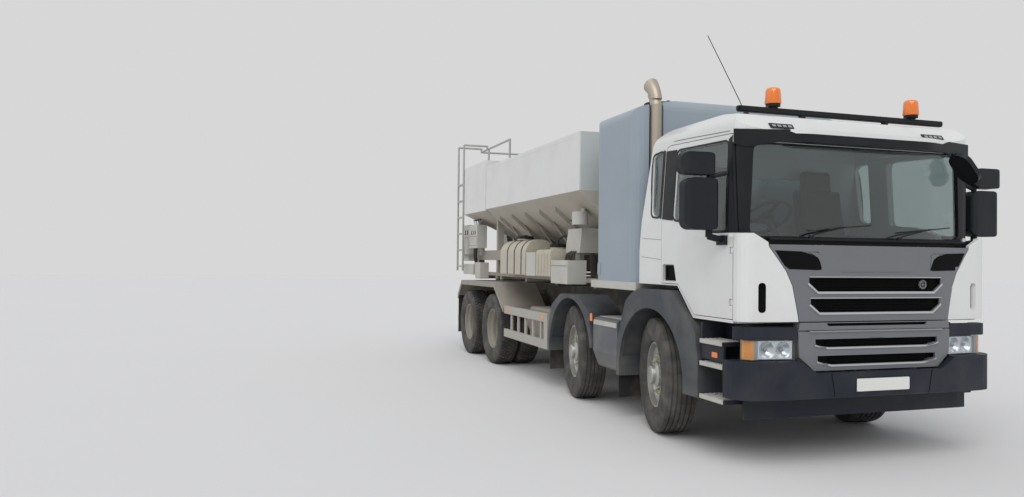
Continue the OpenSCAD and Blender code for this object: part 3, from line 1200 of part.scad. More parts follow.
// Steering column, whose foot lies in a socket of the dashboard
module column(r, deeper) bar(column_foot + deeper * (column_foot - column_head), column_head, r);
module cab_interior() color([0.22, 0.23, 0.25]) {
    // dashboard
    difference() {
        along_y(-1000, 1000, rounded([[930, 1480, 0], [1322 - cab_wall - seat_gap, 1480, 0],
            [1322 - cab_wall - seat_gap, belt_z - cab_wall - 12, 0], [1170, belt_z - cab_wall - 12, 0], [1160, 1795, 40],
            [1000, 1775, 40], [930, 1660, 30]], 4));
        column(column_r + seat_gap, 0.001);
    }
    for (y = [-seat_y, seat_y]) translate([0, y, 0]) seat();
    // steering column and wheel, on the right
    column(column_r, 0);
    translate([800, -seat_y, 1948]) rotate([0, -35, 0]) {
        rotate_extrude($fn = 40) translate([wheel_r, 0]) circle(r = 16, $fn = 16);
        cylinder(r = 70, h = 30, center = true);
        for (a = [0, 120, 240]) rotate([0, 0, a]) translate([40, -18, -8]) cube([wheel_r - 40, 36, 16]);
    }
}
module seat() {
    floor_z = cab_foot + cab_wall + seat_gap;
    block([60, -170, floor_z], [400, 170, 1702]);
    along_y(-245, 245, rounded([[30, 1700, 30], [530, 1700, 40], [540, 1830, 50], [30, 1815, 30]], 4));
    along_y(-230, 230, rounded([[40, 1800, 30], [180, 1810, 40], [95, 2270, 50], [-20, 2270, 40]], 4));
    along_y(-140, 140, rounded([[-18, 2262, 10], [80, 2262, 10], [62, 2460, 40], [-28, 2460, 40]], 4));
}

in_frame() chassis_frame();
in_frame() axles();
in_frame() engine_block();
in_frame() knuckle(1, -1);  // knuckle_1r
in_frame() knuckle(1, 1);  // knuckle_1l
in_frame() knuckle(2, -1);  // knuckle_2r
in_frame() knuckle(2, 1);  // knuckle_2l
in_frame() steer_tyre(1, -1);  // steer_tyre_1r
in_frame() steer_tyre(1, 1);  // steer_tyre_1l
in_frame() steer_tyre(2, -1);  // steer_tyre_2r
in_frame() steer_tyre(2, 1);  // steer_tyre_2l
in_frame() steer_rim_at(1, -1);  // steer_rim_1r
in_frame() steer_rim_at(1, 1);  // steer_rim_1l
in_frame() steer_rim_at(2, -1);  // steer_rim_2r
in_frame() steer_rim_at(2, 1);  // steer_rim_2l
in_frame() twin_tyres(3, -1);  // twin_tyres_3r
in_frame() twin_tyres(3, 1);  // twin_tyres_3l
in_frame() twin_tyres(4, -1);  // twin_tyres_4r
in_frame() twin_tyres(4, 1);  // twin_tyres_4l
in_frame() at_twin(3, -1) twin_rims();  // twin_rims_3r
in_frame() at_twin(3, 1) twin_rims();  // twin_rims_3l
in_frame() at_twin(4, -1) twin_rims();  // twin_rims_4r
in_frame() at_twin(4, 1) twin_rims();  // twin_rims_4l
in_frame() cab_shell();
in_frame() cab_glass();
in_frame() cab_interior();
in_frame() door(-1);  // door_right
in_frame() door(1);  // door_left
in_frame() door_glass(-1);  // door_glass_right
in_frame() door_glass(1);  // door_glass_left
in_frame() mirror_pair(-1);  // mirror_right
in_frame() mirror_pair(1);  // mirror_left
in_frame() cab_trim();
in_frame() roof_lights();
in_frame() corner_panels();
in_frame() grille_hatch();
in_frame() lower_grille();
in_frame() bumper();
in_frame() headlamps();
in_frame() cab_steps();
in_frame() steer_wings();
in_frame() rear_wings();
in_frame() mud_flaps();
in_frame() side_lockers();
in_frame() side_guards();
in_frame() chassis_tanks();
in_frame() water_tank();
in_frame() exhaust_stack();
in_frame() body_subframe();
in_frame() aggregate_bin();
in_frame() cement_bin();
in_frame() conveyor();
in_frame() admix_tanks();
in_frame() control_boxes();
in_frame() ladder_rails();
in_frame() turntable();
in_frame() trough();
in_frame() screw();
in_frame() lift_cylinder();
in_frame() lift_rod();
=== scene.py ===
# %% [markdown]
# A four-axle truck that carries sand, stone, cement and water and mixes concrete at the
# site. The solids come packed from the CAD side, already in their places. This script
# adds what a maker would call the finish: paint, rubber, glass and dirt, and the many
# small repeated pieces, such as tread blocks, wheel nuts and tank straps.

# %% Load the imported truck
import json
import math

import bmesh
import bpy
from mathutils import Matrix, Vector
from mathutils.bvhtree import BVHTree


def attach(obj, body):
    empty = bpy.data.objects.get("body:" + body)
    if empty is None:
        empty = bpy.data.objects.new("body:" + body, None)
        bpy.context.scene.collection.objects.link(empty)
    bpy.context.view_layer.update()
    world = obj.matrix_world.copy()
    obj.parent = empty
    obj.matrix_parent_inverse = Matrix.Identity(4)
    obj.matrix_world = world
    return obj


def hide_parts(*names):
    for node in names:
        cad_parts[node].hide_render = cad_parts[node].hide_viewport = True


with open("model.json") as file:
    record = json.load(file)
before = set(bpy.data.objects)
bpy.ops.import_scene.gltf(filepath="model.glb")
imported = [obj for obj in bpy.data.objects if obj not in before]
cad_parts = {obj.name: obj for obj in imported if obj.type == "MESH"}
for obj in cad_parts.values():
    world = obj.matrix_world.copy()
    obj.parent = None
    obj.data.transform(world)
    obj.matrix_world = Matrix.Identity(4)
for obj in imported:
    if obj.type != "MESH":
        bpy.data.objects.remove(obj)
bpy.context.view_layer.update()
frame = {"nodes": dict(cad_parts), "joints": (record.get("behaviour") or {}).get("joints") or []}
nodes = frame["nodes"]
joints = {j["name"]: j for j in frame["joints"]}

# %% [markdown]
# Every measure below is given as it would be on a drawing of the truck, from the first
# axle back and forth, from the middle out, and from the ground up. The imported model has
# its origin in the middle of the truck, so one function shifts the first number.

# %% Places on the truck
FIRST_AXLE, _, HUB_HEIGHT = joints["steer_1r"]["pos_m"]
AXLES = {1: 0.0, 2: -1.94, 3: -5.07, 4: -6.425}
TYRE_RADIUS = HUB_HEIGHT
TYRE_WIDTH = 0.300
RIGHT, LEFT = -1, 1
SIDES = ((RIGHT, "right"), (LEFT, "left"))
FORWARD, LEFTWARD, UPWARD = Vector((1, 0, 0)), Vector((0, 1, 0)), Vector((0, 0, 1))


def at(x, y, z):
    """A point of the truck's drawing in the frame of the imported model."""
    return Vector((x + FIRST_AXLE, y, z))


print("first axle at", round(FIRST_AXLE, 3))

# %% [markdown]
# Shaders and Geometry Nodes trees are both made of nodes and wires. One helper makes a
# node and fills or wires its inputs, so that each tree below reads as a short list.

# %% Node helpers


def node(tree, kind, inputs=(), **settings):
    """A new node. Each input takes a plain value, or the output that is wired to it."""
    made = tree.nodes.new(kind)
    for key, value in settings.items():
        setattr(made, key, value)
    for key, value in dict(inputs).items():
        if isinstance(value, bpy.types.NodeSocket):
            tree.links.new(value, made.inputs[key])
        else:
            made.inputs[key].default_value = value
    return made


def reckon(tree, operation, *values, clamp=False):
    """The output of a math node."""
    made = node(tree, "ShaderNodeMath", enumerate(values), operation=operation, use_clamp=clamp)
    return made.outputs[0]


worn_by, slot_of, shader_of = {}, {}, {}


def material(name, shader, on, slot):
    """A material whose shader a function makes in a tree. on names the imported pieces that
    wear it, and slot the material of the part's record that it stands for."""
    mat = bpy.data.materials.new(name)
    mat.use_nodes = True
    mat.node_tree.nodes.clear()
    node(mat.node_tree, "ShaderNodeOutputMaterial", {0: shader(mat.node_tree)})
    worn_by.update(dict.fromkeys(on.split(), mat))
    slot_of[name], shader_of[name] = slot, shader
    return mat


# %% [markdown]
# Paint on a working truck is never one flat colour. Each finish here is one shader with
# two noise patterns: a broad one that lays pale concrete dust on the paint, and a fine
# one that breaks up the gloss. Dust gathers low down, so it also fades with height.

# %% The finish maker
DUST = (0.40, 0.36, 0.30)
DUST_FROM, DUST_FULL = 0.42, 0.72
FINER = 22
SPLASH_FULL_AT, SPLASH = 0.2, 0.75
GLOSSIER, DULLER = 0.08, 0.12


def finish(name, colour, rough=0.45, dust=0.25, metal=0.0, low=0.0, coat=0.0, grain=3.0,
           dust_colour=DUST, shine=0.5, on="", slot="black_plastic"):
    """A paint, plastic or metal under dust. low is the height below which dust thickens."""
    def shader(tree):
        place = node(tree, "ShaderNodeTexCoord").outputs["Object"]
        broad, fine = (node(tree, "ShaderNodeTexNoise", {
            "Vector": place, "Scale": grain * finer, "Detail": detail}).outputs["Fac"]
            for finer, detail in ((1, 6), (FINER, 3)))
        cover = node(tree, "ShaderNodeMapRange", {
            "Value": broad, "From Min": DUST_FROM, "From Max": DUST_FULL, "To Max": dust})
        amount = cover.outputs["Result"]
        if low > 0:
            height = node(tree, "ShaderNodeSeparateXYZ", {0: place}).outputs["Z"]
            rise = node(tree, "ShaderNodeMapRange", {
                "Value": height, "From Min": low, "From Max": SPLASH_FULL_AT, "To Max": SPLASH})
            splash = reckon(tree, "MULTIPLY", rise.outputs["Result"], fine)
            amount = reckon(tree, "ADD", amount, splash, clamp=True)
        mix = node(tree, "ShaderNodeMix", {
            "Factor": amount, "A": (*colour, 1), "B": (*dust_colour, 1)}, data_type="RGBA")
        gloss = node(tree, "ShaderNodeMapRange", {
            "Value": fine, "To Min": max(0.05, rough - GLOSSIER),
            "To Max": min(1.0, rough + DULLER)})
        return node(tree, "ShaderNodeBsdfPrincipled", {
            "Base Color": mix.outputs["Result"], "Roughness": gloss.outputs["Result"],
            "Metallic": metal, "Coat Weight": coat, "Specular IOR Level": shine}).outputs[0]

    return material(name, shader, on, slot)


# %% [markdown]
# The truck's colours, as they look in daylight: a white cab, slate-blue plastic below it,
# a silver-grey grille, a bluish water tank and a dusty body. Values are linear, so a
# mid grey is about 0.2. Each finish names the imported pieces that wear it, and the
# material of the part's record that it stands for.

# %% Colours
cab_white = finish("cab white", (0.77, 0.77, 0.755), 0.30, 0.10, low=1.3, coat=0.4,
                   on="corner_panels", slot="cab_white")
finish("slate plastic", (0.013, 0.017, 0.027), 0.50, 0.05, shine=0.3, on="bumper cab_steps")
finish("wing plastic", (0.060, 0.066, 0.075), 0.55, 0.18, low=0.6, shine=0.35, on="steer_wings")
finish("mirror plastic", (0.009, 0.011, 0.015), 0.50, 0.03, shine=0.3,
       on="mirror_right mirror_left")
black = finish("black trim", (0.005, 0.006, 0.008), 0.40, 0.015, shine=0.3,
               on="cab_trim roof_lights")
# Near-black: grille mesh, vents, bumper seams; painted shade in recesses, slots and notch.
deep_black = finish("dark gap", (0.004, 0.004, 0.004), 0.7, 0.0, shine=0.1)
silver = finish("grille grey", (0.185, 0.19, 0.205), 0.38, 0.06, 0.35, slot="grille_grey")
ledge_silver = finish("bright ledge", (0.55, 0.56, 0.57), 0.30, 0.06, 0.6, on="headlamps",
                      slot="grille_grey")
finish("chassis black", (0.035, 0.033, 0.031), 0.65, 0.55, low=1.0,
       on="chassis_frame axles knuckle lift_cylinder")
dull_steel = finish("dull steel", (0.16, 0.15, 0.14), 0.6, 0.4, 0.4, on="engine_block",
                    slot="stack_steel")
tank_white = finish("tank plastic", (0.295, 0.35, 0.40), 0.35, grain=1.2,
                    dust_colour=(0.46, 0.49, 0.51), on="water_tank", slot="tank_white")
bin_white = finish("bin white", (0.76, 0.76, 0.74), 0.42, 0.12)
# Below the deck: dirt with dust, made darker as painted shade from the deck above it.
deck_shade_and_dirt = finish("painted deck shade and frame dirt", (0.085, 0.076, 0.066), 0.85, 0.6, grain=5,
                    dust_colour=(0.20, 0.18, 0.15))
bin_grey = finish("bin front", (0.56, 0.59, 0.58), 0.5, 0.2)
dusty = finish("dusty body", (0.36, 0.33, 0.28), 0.8, 0.5, grain=4,
               dust_colour=(0.33, 0.295, 0.24), on="chassis_tanks turntable")
slope_dust = finish("slope dust", (0.50, 0.465, 0.40), 0.85, 0.4, grain=2.5)
finish("folded wing", (0.33, 0.305, 0.26), 0.75, 0.4, on="rear_wings")
finish("side guard", (0.44, 0.42, 0.38), 0.6, 0.35, low=0.7, on="side_guards")
finish("admix tank", (0.52, 0.48, 0.385), 0.45, 0.35, grain=6, dust_colour=(0.36, 0.33, 0.28),
       on="admix_tanks")
box_white = finish("control box", (0.56, 0.55, 0.50), 0.5, 0.35, on="control_boxes")
locker_grey = finish("locker grey", (0.105, 0.112, 0.125), 0.5, 0.2, low=0.7, on="side_lockers")
tyre_black = finish("tyre rubber", (0.055, 0.053, 0.050), 0.85, 0.45, grain=7,
                    dust_colour=(0.22, 0.20, 0.17), on="steer_tyre twin_tyres", slot="tyre")
flap_black = finish("flap rubber", (0.018, 0.017, 0.017), 0.8, on="mud_flaps",
                    slot="flap_rubber")
finish("steered rim", (0.46, 0.46, 0.44), 0.40, 0.3, 0.7, grain=9, on="steer_rim")
finish("rear rim", (0.33, 0.30, 0.25), 0.75, 0.5, grain=6, on="twin_rims")
stack_steel = finish("stack steel", (0.46, 0.40, 0.32), 0.42, 0.3, 0.6, on="exhaust_stack",
                     slot="stack_steel")
finish("auger steel", (0.30, 0.29, 0.27), 0.55, 0.5, 0.5, on="trough")
finish("screw steel", (0.42, 0.41, 0.39), 0.40, 0.4, 0.8, on="screw")
finish("polished rod", (0.75, 0.75, 0.75), 0.15, 0.0, 1.0, on="lift_rod")
finish("belt rubber", (0.03, 0.03, 0.03), 0.8, 0.4, on="conveyor")
finish("cabin plastic", (0.030, 0.032, 0.036), 0.7, 0.03, on="cab_interior")
amber = finish("amber lens", (0.90, 0.20, 0.005), 0.15, 0.0, coat=1.0, slot="amber_plastic")
red_lens = finish("red lens", (0.45, 0.010, 0.008), 0.15, 0.0, coat=1.0, slot="amber_plastic")
nut_steel = finish("nut steel", (0.50, 0.49, 0.46), 0.4, 0.3, 0.8, slot="rim_metal")
indicator = finish("nut indicator", (0.62, 0.66, 0.10), 0.45, 0.2, slot="amber_plastic")
plate_white = finish("blank plate", (0.78, 0.78, 0.74), 0.35, 0.08, slot="box_white")
galvanised = finish("galvanised tube", (0.42, 0.42, 0.41), 0.5, 0.2, 0.4, on="ladder_rails",
                    slot="galvanised")
tread_metal = finish("worn tread", (0.56, 0.545, 0.51), 0.6, 0.4, 0.2, grain=8,
                     slot="galvanised")
chrome = finish("lamp chrome", (0.86, 0.87, 0.88), 0.20, 0.0, 0.55, slot="lamp_clear")
lamp_orange = finish("front lamp orange", (0.95, 0.33, 0.012), 0.25, 0.0, coat=0.6,
                     slot="amber_plastic")
lamp_grey = finish("lamp surround", (0.36, 0.37, 0.38), 0.35, 0.05, 0.3, slot="grille_grey")
mirror_pane = finish("mirror pane", (0.72, 0.74, 0.75), 0.05, 0.02, 1.0, slot="glass")
print("finishes:", len(bpy.data.materials))

# %% [markdown]
# Glass in a cab is thin and slightly grey. A transmissive shader would darken the far
# side of the cab, so the pane mixes a see-through shader with a mirror-like one. It
# reflects more where it is seen at a low angle, by the same amount from both sides.

# %% Glass
PANE_ROUGHNESS = 0.03
STEEPNESS = 4.0


def glass(name, tint, strength, on="", slot="glass"):
    """A thin pane. strength is the share that it reflects when seen square on."""
    def shader(tree):
        clear = node(tree, "ShaderNodeBsdfTransparent", {"Color": (*tint, 1)})
        shine = node(tree, "ShaderNodeBsdfGlossy", {"Roughness": PANE_ROUGHNESS})
        facing = node(tree, "ShaderNodeLayerWeight", {"Blend": 0.5}).outputs["Facing"]
        steep = reckon(tree, "POWER", facing, STEEPNESS)
        share = reckon(tree, "ADD", steep, strength, clamp=True)
        return node(tree, "ShaderNodeMixShader", {
            "Fac": share, 1: clear.outputs[0], 2: shine.outputs[0]}).outputs[0]

    return material(name, shader, on, slot)


glass("cab pane", (0.72, 0.77, 0.77), 0.08, "cab_glass door_glass_right door_glass_left")
lamp_lens = glass("lamp lens", (0.92, 0.94, 0.95), 0.05, slot="lamp_clear")

# %% [markdown]
# Some imported pieces carry two colours on one solid: the cab's window pillars are black,
# and the hopper is white above its eave and dusty below. The black on the cab's nose also
# runs down over the white nose wall under the windscreen, as painted shade of the gap there,
# and below the deck the subframe is painted dark as painted shade of the deck, over its
# dirt. A mask in the shader picks the colour by the place on the piece, from the same
# heights that the drawing uses.

# %% Two finishes on one piece


def split_finish(name, on, first, second, *tests):
    """second covers every place where all tests hold; a test is (axis, relation, limit)."""
    def shader(tree):
        place = node(tree, "ShaderNodeTexCoord").outputs["Object"]
        axes = node(tree, "ShaderNodeSeparateXYZ", {0: place}).outputs
        mask = 1.0
        for axis, relation, limit in tests:
            value = reckon(tree, "ABSOLUTE", axes["Y"]) if axis == "across" else axes[axis]
            kind = "GREATER_THAN" if relation == ">" else "LESS_THAN"
            mask = reckon(tree, "MULTIPLY", mask, reckon(tree, kind, value, limit))
        return node(tree, "ShaderNodeMixShader", {
            "Fac": mask, 1: shader_of[first.name](tree),
            2: shader_of[second.name](tree)}).outputs[0]

    return material(name, shader, on, "black_plastic")


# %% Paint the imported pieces
DECK_UNDERSIDE = 1.262
# The black's low edge is the grille's top; below the windscreen it is painted shade.
NOSE_SHADE_LOW, WINDOW_TOP = 1.707, 2.50
EAVE = 2.363
# On the nose, the black under the windscreen is painted shade on the white nose wall.
split_finish("cab shell", "cab_shell", cab_white, black, ("X", ">", FIRST_AXLE + 1.190),
             ("Z", ">", NOSE_SHADE_LOW), ("Z", "<", WINDOW_TOP))
split_finish("door", "door_right door_left", cab_white, black, ("X", ">", FIRST_AXLE + 0.985),
             ("Z", ">", 1.795), ("Z", "<", WINDOW_TOP))
bin_front = split_finish("hopper front", "", slope_dust, bin_grey,
                         ("X", ">", FIRST_AXLE - 1.753), ("Z", ">", EAVE))
split_finish("hopper", "aggregate_bin", bin_front, bin_white, ("across", ">", 1.185),
             ("Z", ">", EAVE))
split_finish("cement bin", "cement_bin", slope_dust, bin_white, ("Z", ">", 2.345))
deck = split_finish("deck", "", dusty, box_white, ("X", ">", FIRST_AXLE - 1.85),
                    ("Z", ">", DECK_UNDERSIDE))
# Below the deck's underside the subframe wears the dark finish: painted shade under the deck.
split_finish("subframe", "body_subframe", deck, deck_shade_and_dirt, ("Z", "<", DECK_UNDERSIDE))
split_finish("grille", "grille_hatch", silver, deep_black, ("X", "<", FIRST_AXLE + 1.447),
             ("across", "<", 0.66), ("Z", ">", 1.17), ("Z", "<", 1.47))
split_finish("lower grille", "lower_grille", silver, deep_black,
             ("X", "<", FIRST_AXLE + 1.456), ("across", "<", 0.62))
for name, piece in nodes.items():
    kind = name[:-3] if name[-2].isdigit() else name
    piece.data.materials.clear()
    piece.data.materials.append(worn_by[kind])

# %% [markdown]
# Small pieces are built as meshes in their final places. These helpers make a box with
# softened edges, a turned part and a form between rings of points, and put each of them
# on the body that carries it.

# %% Piece helpers
SOFTENED_FROM = 0.6


def mesh_from(bm, name):
    mesh = bpy.data.meshes.new(name)
    bm.to_mesh(mesh)
    bm.free()
    return mesh


def shown(name, data):
    """An object in the scene for a mesh, a lamp or a camera."""
    made = bpy.data.objects.new(name, data)
    bpy.context.scene.collection.objects.link(made)
    return made


def ridden(name, bm, mat, body):
    """Turns a bmesh into a piece that rides on a body."""
    piece = shown(name, mesh_from(bm, name))
    print(name, "on", body, "faces:", len(piece.data.polygons))
    piece.data.materials.append(mat)
    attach(piece, body)
    return piece


def add_piece(name, bm, mat, body="truck", bevel=0.0):
    """The same for a bmesh that still has to be closed, faced outwards and softened."""
    bmesh.ops.remove_doubles(bm, verts=bm.verts, dist=1e-6)
    bmesh.ops.recalc_face_normals(bm, faces=bm.faces)
    if bevel:
        edges = [e for e in bm.edges
                 if len(e.link_faces) == 2 and e.calc_face_angle(0) > SOFTENED_FROM]
        bmesh.ops.bevel(bm, geom=edges, offset=bevel, segments=2, affect="EDGES",
                        clamp_overlap=True)
    return ridden(name, bm, mat, body)


def smooth(piece, angle=0.7):
    """Shades a piece smoothly, apart from the edges that are sharper than an angle."""
    piece.data.shade_smooth()
    piece.data.set_sharp_from_angle(angle=angle)


# %% Boxes, rods and balls


def box_into(bm, lo, hi):
    for v in bmesh.ops.create_cube(bm, size=1.0)["verts"]:
        v.co = Vector((lo[i] + (v.co[i] + 0.5) * (hi[i] - lo[i]) for i in range(3)))


def boxes(name, spans, mat, body="truck", bevel=0.002):
    """Boxes given by their low and high corners on the drawing, as one piece."""
    bm = bmesh.new()
    for lo, hi in spans:
        box_into(bm, at(*lo), at(*hi))
    add_piece(name, bm, mat, body, bevel)


def flipped(spans):
    """The same boxes on the truck's other side."""
    return [((a[0], -b[1], a[2]), (b[0], -a[1], b[2])) for a, b in spans]


def both_sides(spans):
    return spans + flipped(spans)


def rod_into(bm, a, b, radius, sides):
    made = bmesh.ops.create_cone(bm, cap_ends=True, segments=sides, radius1=radius,
                                 radius2=radius, depth=(b - a).length)["verts"]
    turn = (b - a).to_track_quat("Z", "Y").to_matrix().to_4x4()
    bmesh.ops.transform(bm, matrix=Matrix.Translation((a + b) / 2) @ turn, verts=made)


def ball_into(bm, middle, radius, around, rows):
    bmesh.ops.create_uvsphere(bm, u_segments=around, v_segments=rows, radius=radius,
                              matrix=Matrix.Translation(middle))


# %% Turned parts, and forms between rings of points


def turned(bm, outline, sides, place=None, ripple=None):
    """Revolves (radius, height) points about Z into a closed form, and puts it in a place.
    ripple gives a factor on the radius from a point's radius and its angle."""
    rings = []
    for r, z in outline:
        angles = [2 * math.pi * i / sides for i in range(sides if r else 1)]
        rings.append([bm.verts.new((r * math.cos(a), r * math.sin(a), z)) for a in angles])
    pairs = list(zip(rings, rings[1:]))
    if outline[0][0]:
        pairs.append((rings[-1], rings[0]))
    for low, high in pairs:
        for i in range(sides):
            j = (i + 1) % sides
            corners = (low, i), (low, j), (high, j), (high, i)
            face = list(dict.fromkeys(ring[k % len(ring)] for ring, k in corners))
            if len(face) > 2:
                bm.faces.new(face)
    made = [v for ring in rings for v in ring]
    if ripple:
        for v in made:
            v.co.xy *= ripple(v.co.xy.length, math.atan2(v.co.y, v.co.x))
    if place:
        bmesh.ops.transform(bm, matrix=place, verts=made)


def turned_piece(name, parts, mat, body="truck", smoothed=None):
    """Turned parts, each given as what turned() takes, as one piece."""
    bm = bmesh.new()
    for part in parts:
        turned(bm, *part)
    piece = add_piece(name, bm, mat, body)
    if smoothed:
        smooth(piece, smoothed)


def joined_rings(bm, rings, capped=True):
    """Faces between neighbouring rings of points, and caps or a way back to the first."""
    rings = [[bm.verts.new(p) for p in ring] for ring in rings]
    if capped:
        bm.faces.new(rings[0][::-1])
        bm.faces.new(rings[-1])
    else:
        rings.append(rings[0])
    for low, high in zip(rings, rings[1:]):
        for i in range(len(low)):
            j = (i + 1) % len(low)
            bm.faces.new((low[i], low[j], high[j], high[i]))


# %% [markdown]
# What repeats or follows a path is made by Geometry Nodes. The first tree sets copies of
# a small piece round a circle, each turned to face outwards; the second sets them along
# a line; the third sweeps a round profile along a path and closes its ends. Each has its
# measures as named inputs, and ends by making the copies real and giving them their
# material. The result is baked into a plain mesh.

# %% Geometry Nodes trees


def geometry_tree(middle, mat, **inputs):
    """A tree with named inputs. middle wires it up to the end, which makes the copies real
    and gives them their material."""
    tree = bpy.data.node_groups.new(middle.__name__, "GeometryNodeTree")
    for name, kind in inputs.items():
        tree.interface.new_socket(name, in_out="INPUT", socket_type=f"NodeSocket{kind}")
    tree.interface.new_socket("Result", in_out="OUTPUT", socket_type="NodeSocketGeometry")
    start = node(tree, "NodeGroupInput").outputs
    real = node(tree, "GeometryNodeRealizeInstances", {0: middle(tree, start)})
    paint = node(tree, "GeometryNodeSetMaterial", {"Geometry": real.outputs[0], "Material": mat})
    node(tree, "NodeGroupOutput", {0: paint.outputs[0]})
    return tree


def copies(tree, start, points, **more):
    return node(tree, "GeometryNodeInstanceOnPoints", {
        "Points": points.outputs[0], "Instance": start["Piece"], **more}).outputs[0]


def round_circle(tree, start):
    circle = node(tree, "GeometryNodeMeshCircle",
                  {"Vertices": start["Count"], "Radius": start["Radius"]})
    number = node(tree, "GeometryNodeInputIndex").outputs[0]
    share = reckon(tree, "DIVIDE", number, start["Count"])
    turn = node(tree, "ShaderNodeCombineXYZ", {"Z": reckon(tree, "MULTIPLY", share, 2 * math.pi)})
    return copies(tree, start, circle, Rotation=turn.outputs[0])


def along_line(tree, start):
    line = node(tree, "GeometryNodeMeshLine", {"Count": start["Count"], "Offset": start["Step"]})
    return copies(tree, start, line)


def round_bar(tree, start):
    path = node(tree, "GeometryNodeMeshToCurve", {"Mesh": start["Path"]})
    ring = node(tree, "GeometryNodeCurvePrimitiveCircle",
                {"Radius": start["Radius"], "Resolution": start["Sides"]})
    bar = node(tree, "GeometryNodeCurveToMesh", {
        "Curve": path.outputs[0], "Profile Curve": ring.outputs[0], "Fill Caps": True})
    return bar.outputs[0]


def ring_tree(mat):
    return geometry_tree(round_circle, mat, Piece="Geometry", Count="Int", Radius="Float")


# %% From a tree to a plain mesh


def baked(bm, tree, **values):
    """Runs a tree on a small piece and returns the plain mesh that it makes."""
    carrier = shown("small piece", mesh_from(bm, "small piece"))
    maker = carrier.modifiers.new("maker", "NODES")
    maker.node_group = tree
    for item in tree.interface.items_tree:
        if item.in_out == "INPUT" and item.name in values:
            maker[item.identifier] = values[item.name]
    ready = carrier.evaluated_get(bpy.context.evaluated_depsgraph_get())
    result = bpy.data.meshes.new_from_object(ready)
    carrier.modifiers.remove(maker)
    bpy.data.objects.remove(carrier)
    return result


def joined(name, parts, mat, body):
    """Joins (mesh, place) pairs into one piece on a body."""
    bm = bmesh.new()
    for mesh, place in parts:
        before = len(bm.verts)
        bm.from_mesh(mesh)
        bm.verts.ensure_lookup_table()
        bmesh.ops.transform(bm, matrix=place, verts=bm.verts[before:])
    return ridden(name, bm, mat, body)


# %% [markdown]
# Wheels. On the steered axles the tread is ribs with narrow grooves between them; on the
# driven axles it is rows of blocks. The tyre's body is a turned outline. The blocks, and
# the nuts with their pointers, are small meshes copied round the wheel. A wheel is built
# flat, with its axis along Z, and then stood up in its place.

# %% Where each wheel stands
KINGPIN = 0.930
STEER_OUT = 0.105
TWIN_MIDDLE = 0.9225
TWIN_HALF = 0.1675
# The steered wheels are turned a little at rest, as they are in the photograph.
REST_STEER = {1: math.radians(14.0), 2: math.radians(9.8)}


def wheel_place(axle, side):
    """Stands a flat wheel up: its +Z becomes the side's outward direction."""
    outward = Matrix.Rotation(-math.pi / 2 * side, 4, "X")
    if axle not in REST_STEER:
        return Matrix.Translation(at(AXLES[axle], side * TWIN_MIDDLE, HUB_HEIGHT)) @ outward
    steer = Matrix.Rotation(-REST_STEER[axle], 4, "Z")
    shift = Matrix.Translation((0, side * STEER_OUT, 0))
    pin = Matrix.Translation(at(AXLES[axle], side * KINGPIN, HUB_HEIGHT))
    return pin @ steer @ shift @ outward


def tyre_outline(depth, grooves, width=0.011):
    """The tyre's section from bead to bead, with sloping grooves cut in the tread."""
    half, slope = TYRE_WIDTH / 2, 0.002
    flank = [(0.2866, 0.051), (0.300, 0.030), (0.335, 0.009), (0.405, 0.0), (0.470, 0.004),
             (0.500, 0.012), (0.517, 0.022)]
    outline = [(r, inset - half) for r, inset in flank]
    for middle in grooves:
        for way in (-1, 1):
            edge = [(TYRE_RADIUS, middle + way * (width / 2 + slope)),
                    (TYRE_RADIUS - depth, middle + way * (width / 2 - slope))]
            outline += edge[::-way]
    return outline + [(r, half - inset) for r, inset in flank[::-1]]


def turned_mesh(outline, sides=96):
    bm = bmesh.new()
    turned(bm, outline, sides)
    bmesh.ops.recalc_face_normals(bm, faces=bm.faces)
    return mesh_from(bm, "turned")


BLOCK_DEPTH = 0.014
ribbed = turned_mesh(tyre_outline(0.012, [-0.086, -0.043, 0.0, 0.043, 0.086]))
block_base = turned_mesh([(min(r, TYRE_RADIUS - BLOCK_DEPTH), z)
                          for r, z in tyre_outline(0, [0.0], 0.18)])

# %% Tread blocks
BLOCK_ROWS = [-0.104, -0.052, 0.0, 0.052, 0.104]
BLOCK_COUNT = 54
BLOCK_SLANT = 0.5
SHOULDER_FROM, SHOULDER_DROP = 0.12, 0.006
tyre_ring = ring_tree(tyre_black)
block_tread = [(block_base, Matrix.Identity(4))]
for row, height in enumerate(BLOCK_ROWS):
    bm = bmesh.new()
    box_into(bm, (-BLOCK_DEPTH - 0.004, -0.022, height - 0.021), (0, 0.022, height + 0.021))
    for v in bm.verts:
        v.co.y += (v.co.z - height) * (BLOCK_SLANT if row % 2 else -BLOCK_SLANT)
        if abs(v.co.z) > SHOULDER_FROM:
            v.co.x -= SHOULDER_DROP
    mesh = baked(bm, tyre_ring, Count=BLOCK_COUNT, Radius=TYRE_RADIUS)
    block_tread.append((mesh, Matrix.Rotation(math.pi / BLOCK_COUNT * (row % 2), 4, "Z")))

for axle in AXLES:
    for side, word in SIDES:
        tag, place = f"{axle}{word[0]}", wheel_place(axle, side)
        if axle in REST_STEER:
            tyre = joined(f"ribbed_tyre_{tag}", [(ribbed, place)], tyre_black, f"wheel_{tag}")
            smooth(tyre)
            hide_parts(f"steer_tyre_{tag}")
        else:
            parts = [(mesh, place @ Matrix.Translation((0, 0, offset)) @ turn)
                     for offset in (-TWIN_HALF, TWIN_HALF) for mesh, turn in block_tread]
            tyre = joined(f"block_tyres_{tag}", parts, tyre_black, f"wheel_{tag}")
            smooth(tyre, 0.5)
            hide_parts(f"twin_tyres_{tag}")
print("tyre faces:", len(ribbed.polygons), sum(len(m.polygons) for m, _ in block_tread))

# %% [markdown]
# Ten nuts hold each wheel, and each nut wears a bright pointer: a collar with a flat
# pointed tongue. A nut that works loose turns its pointer, which shows from the road.

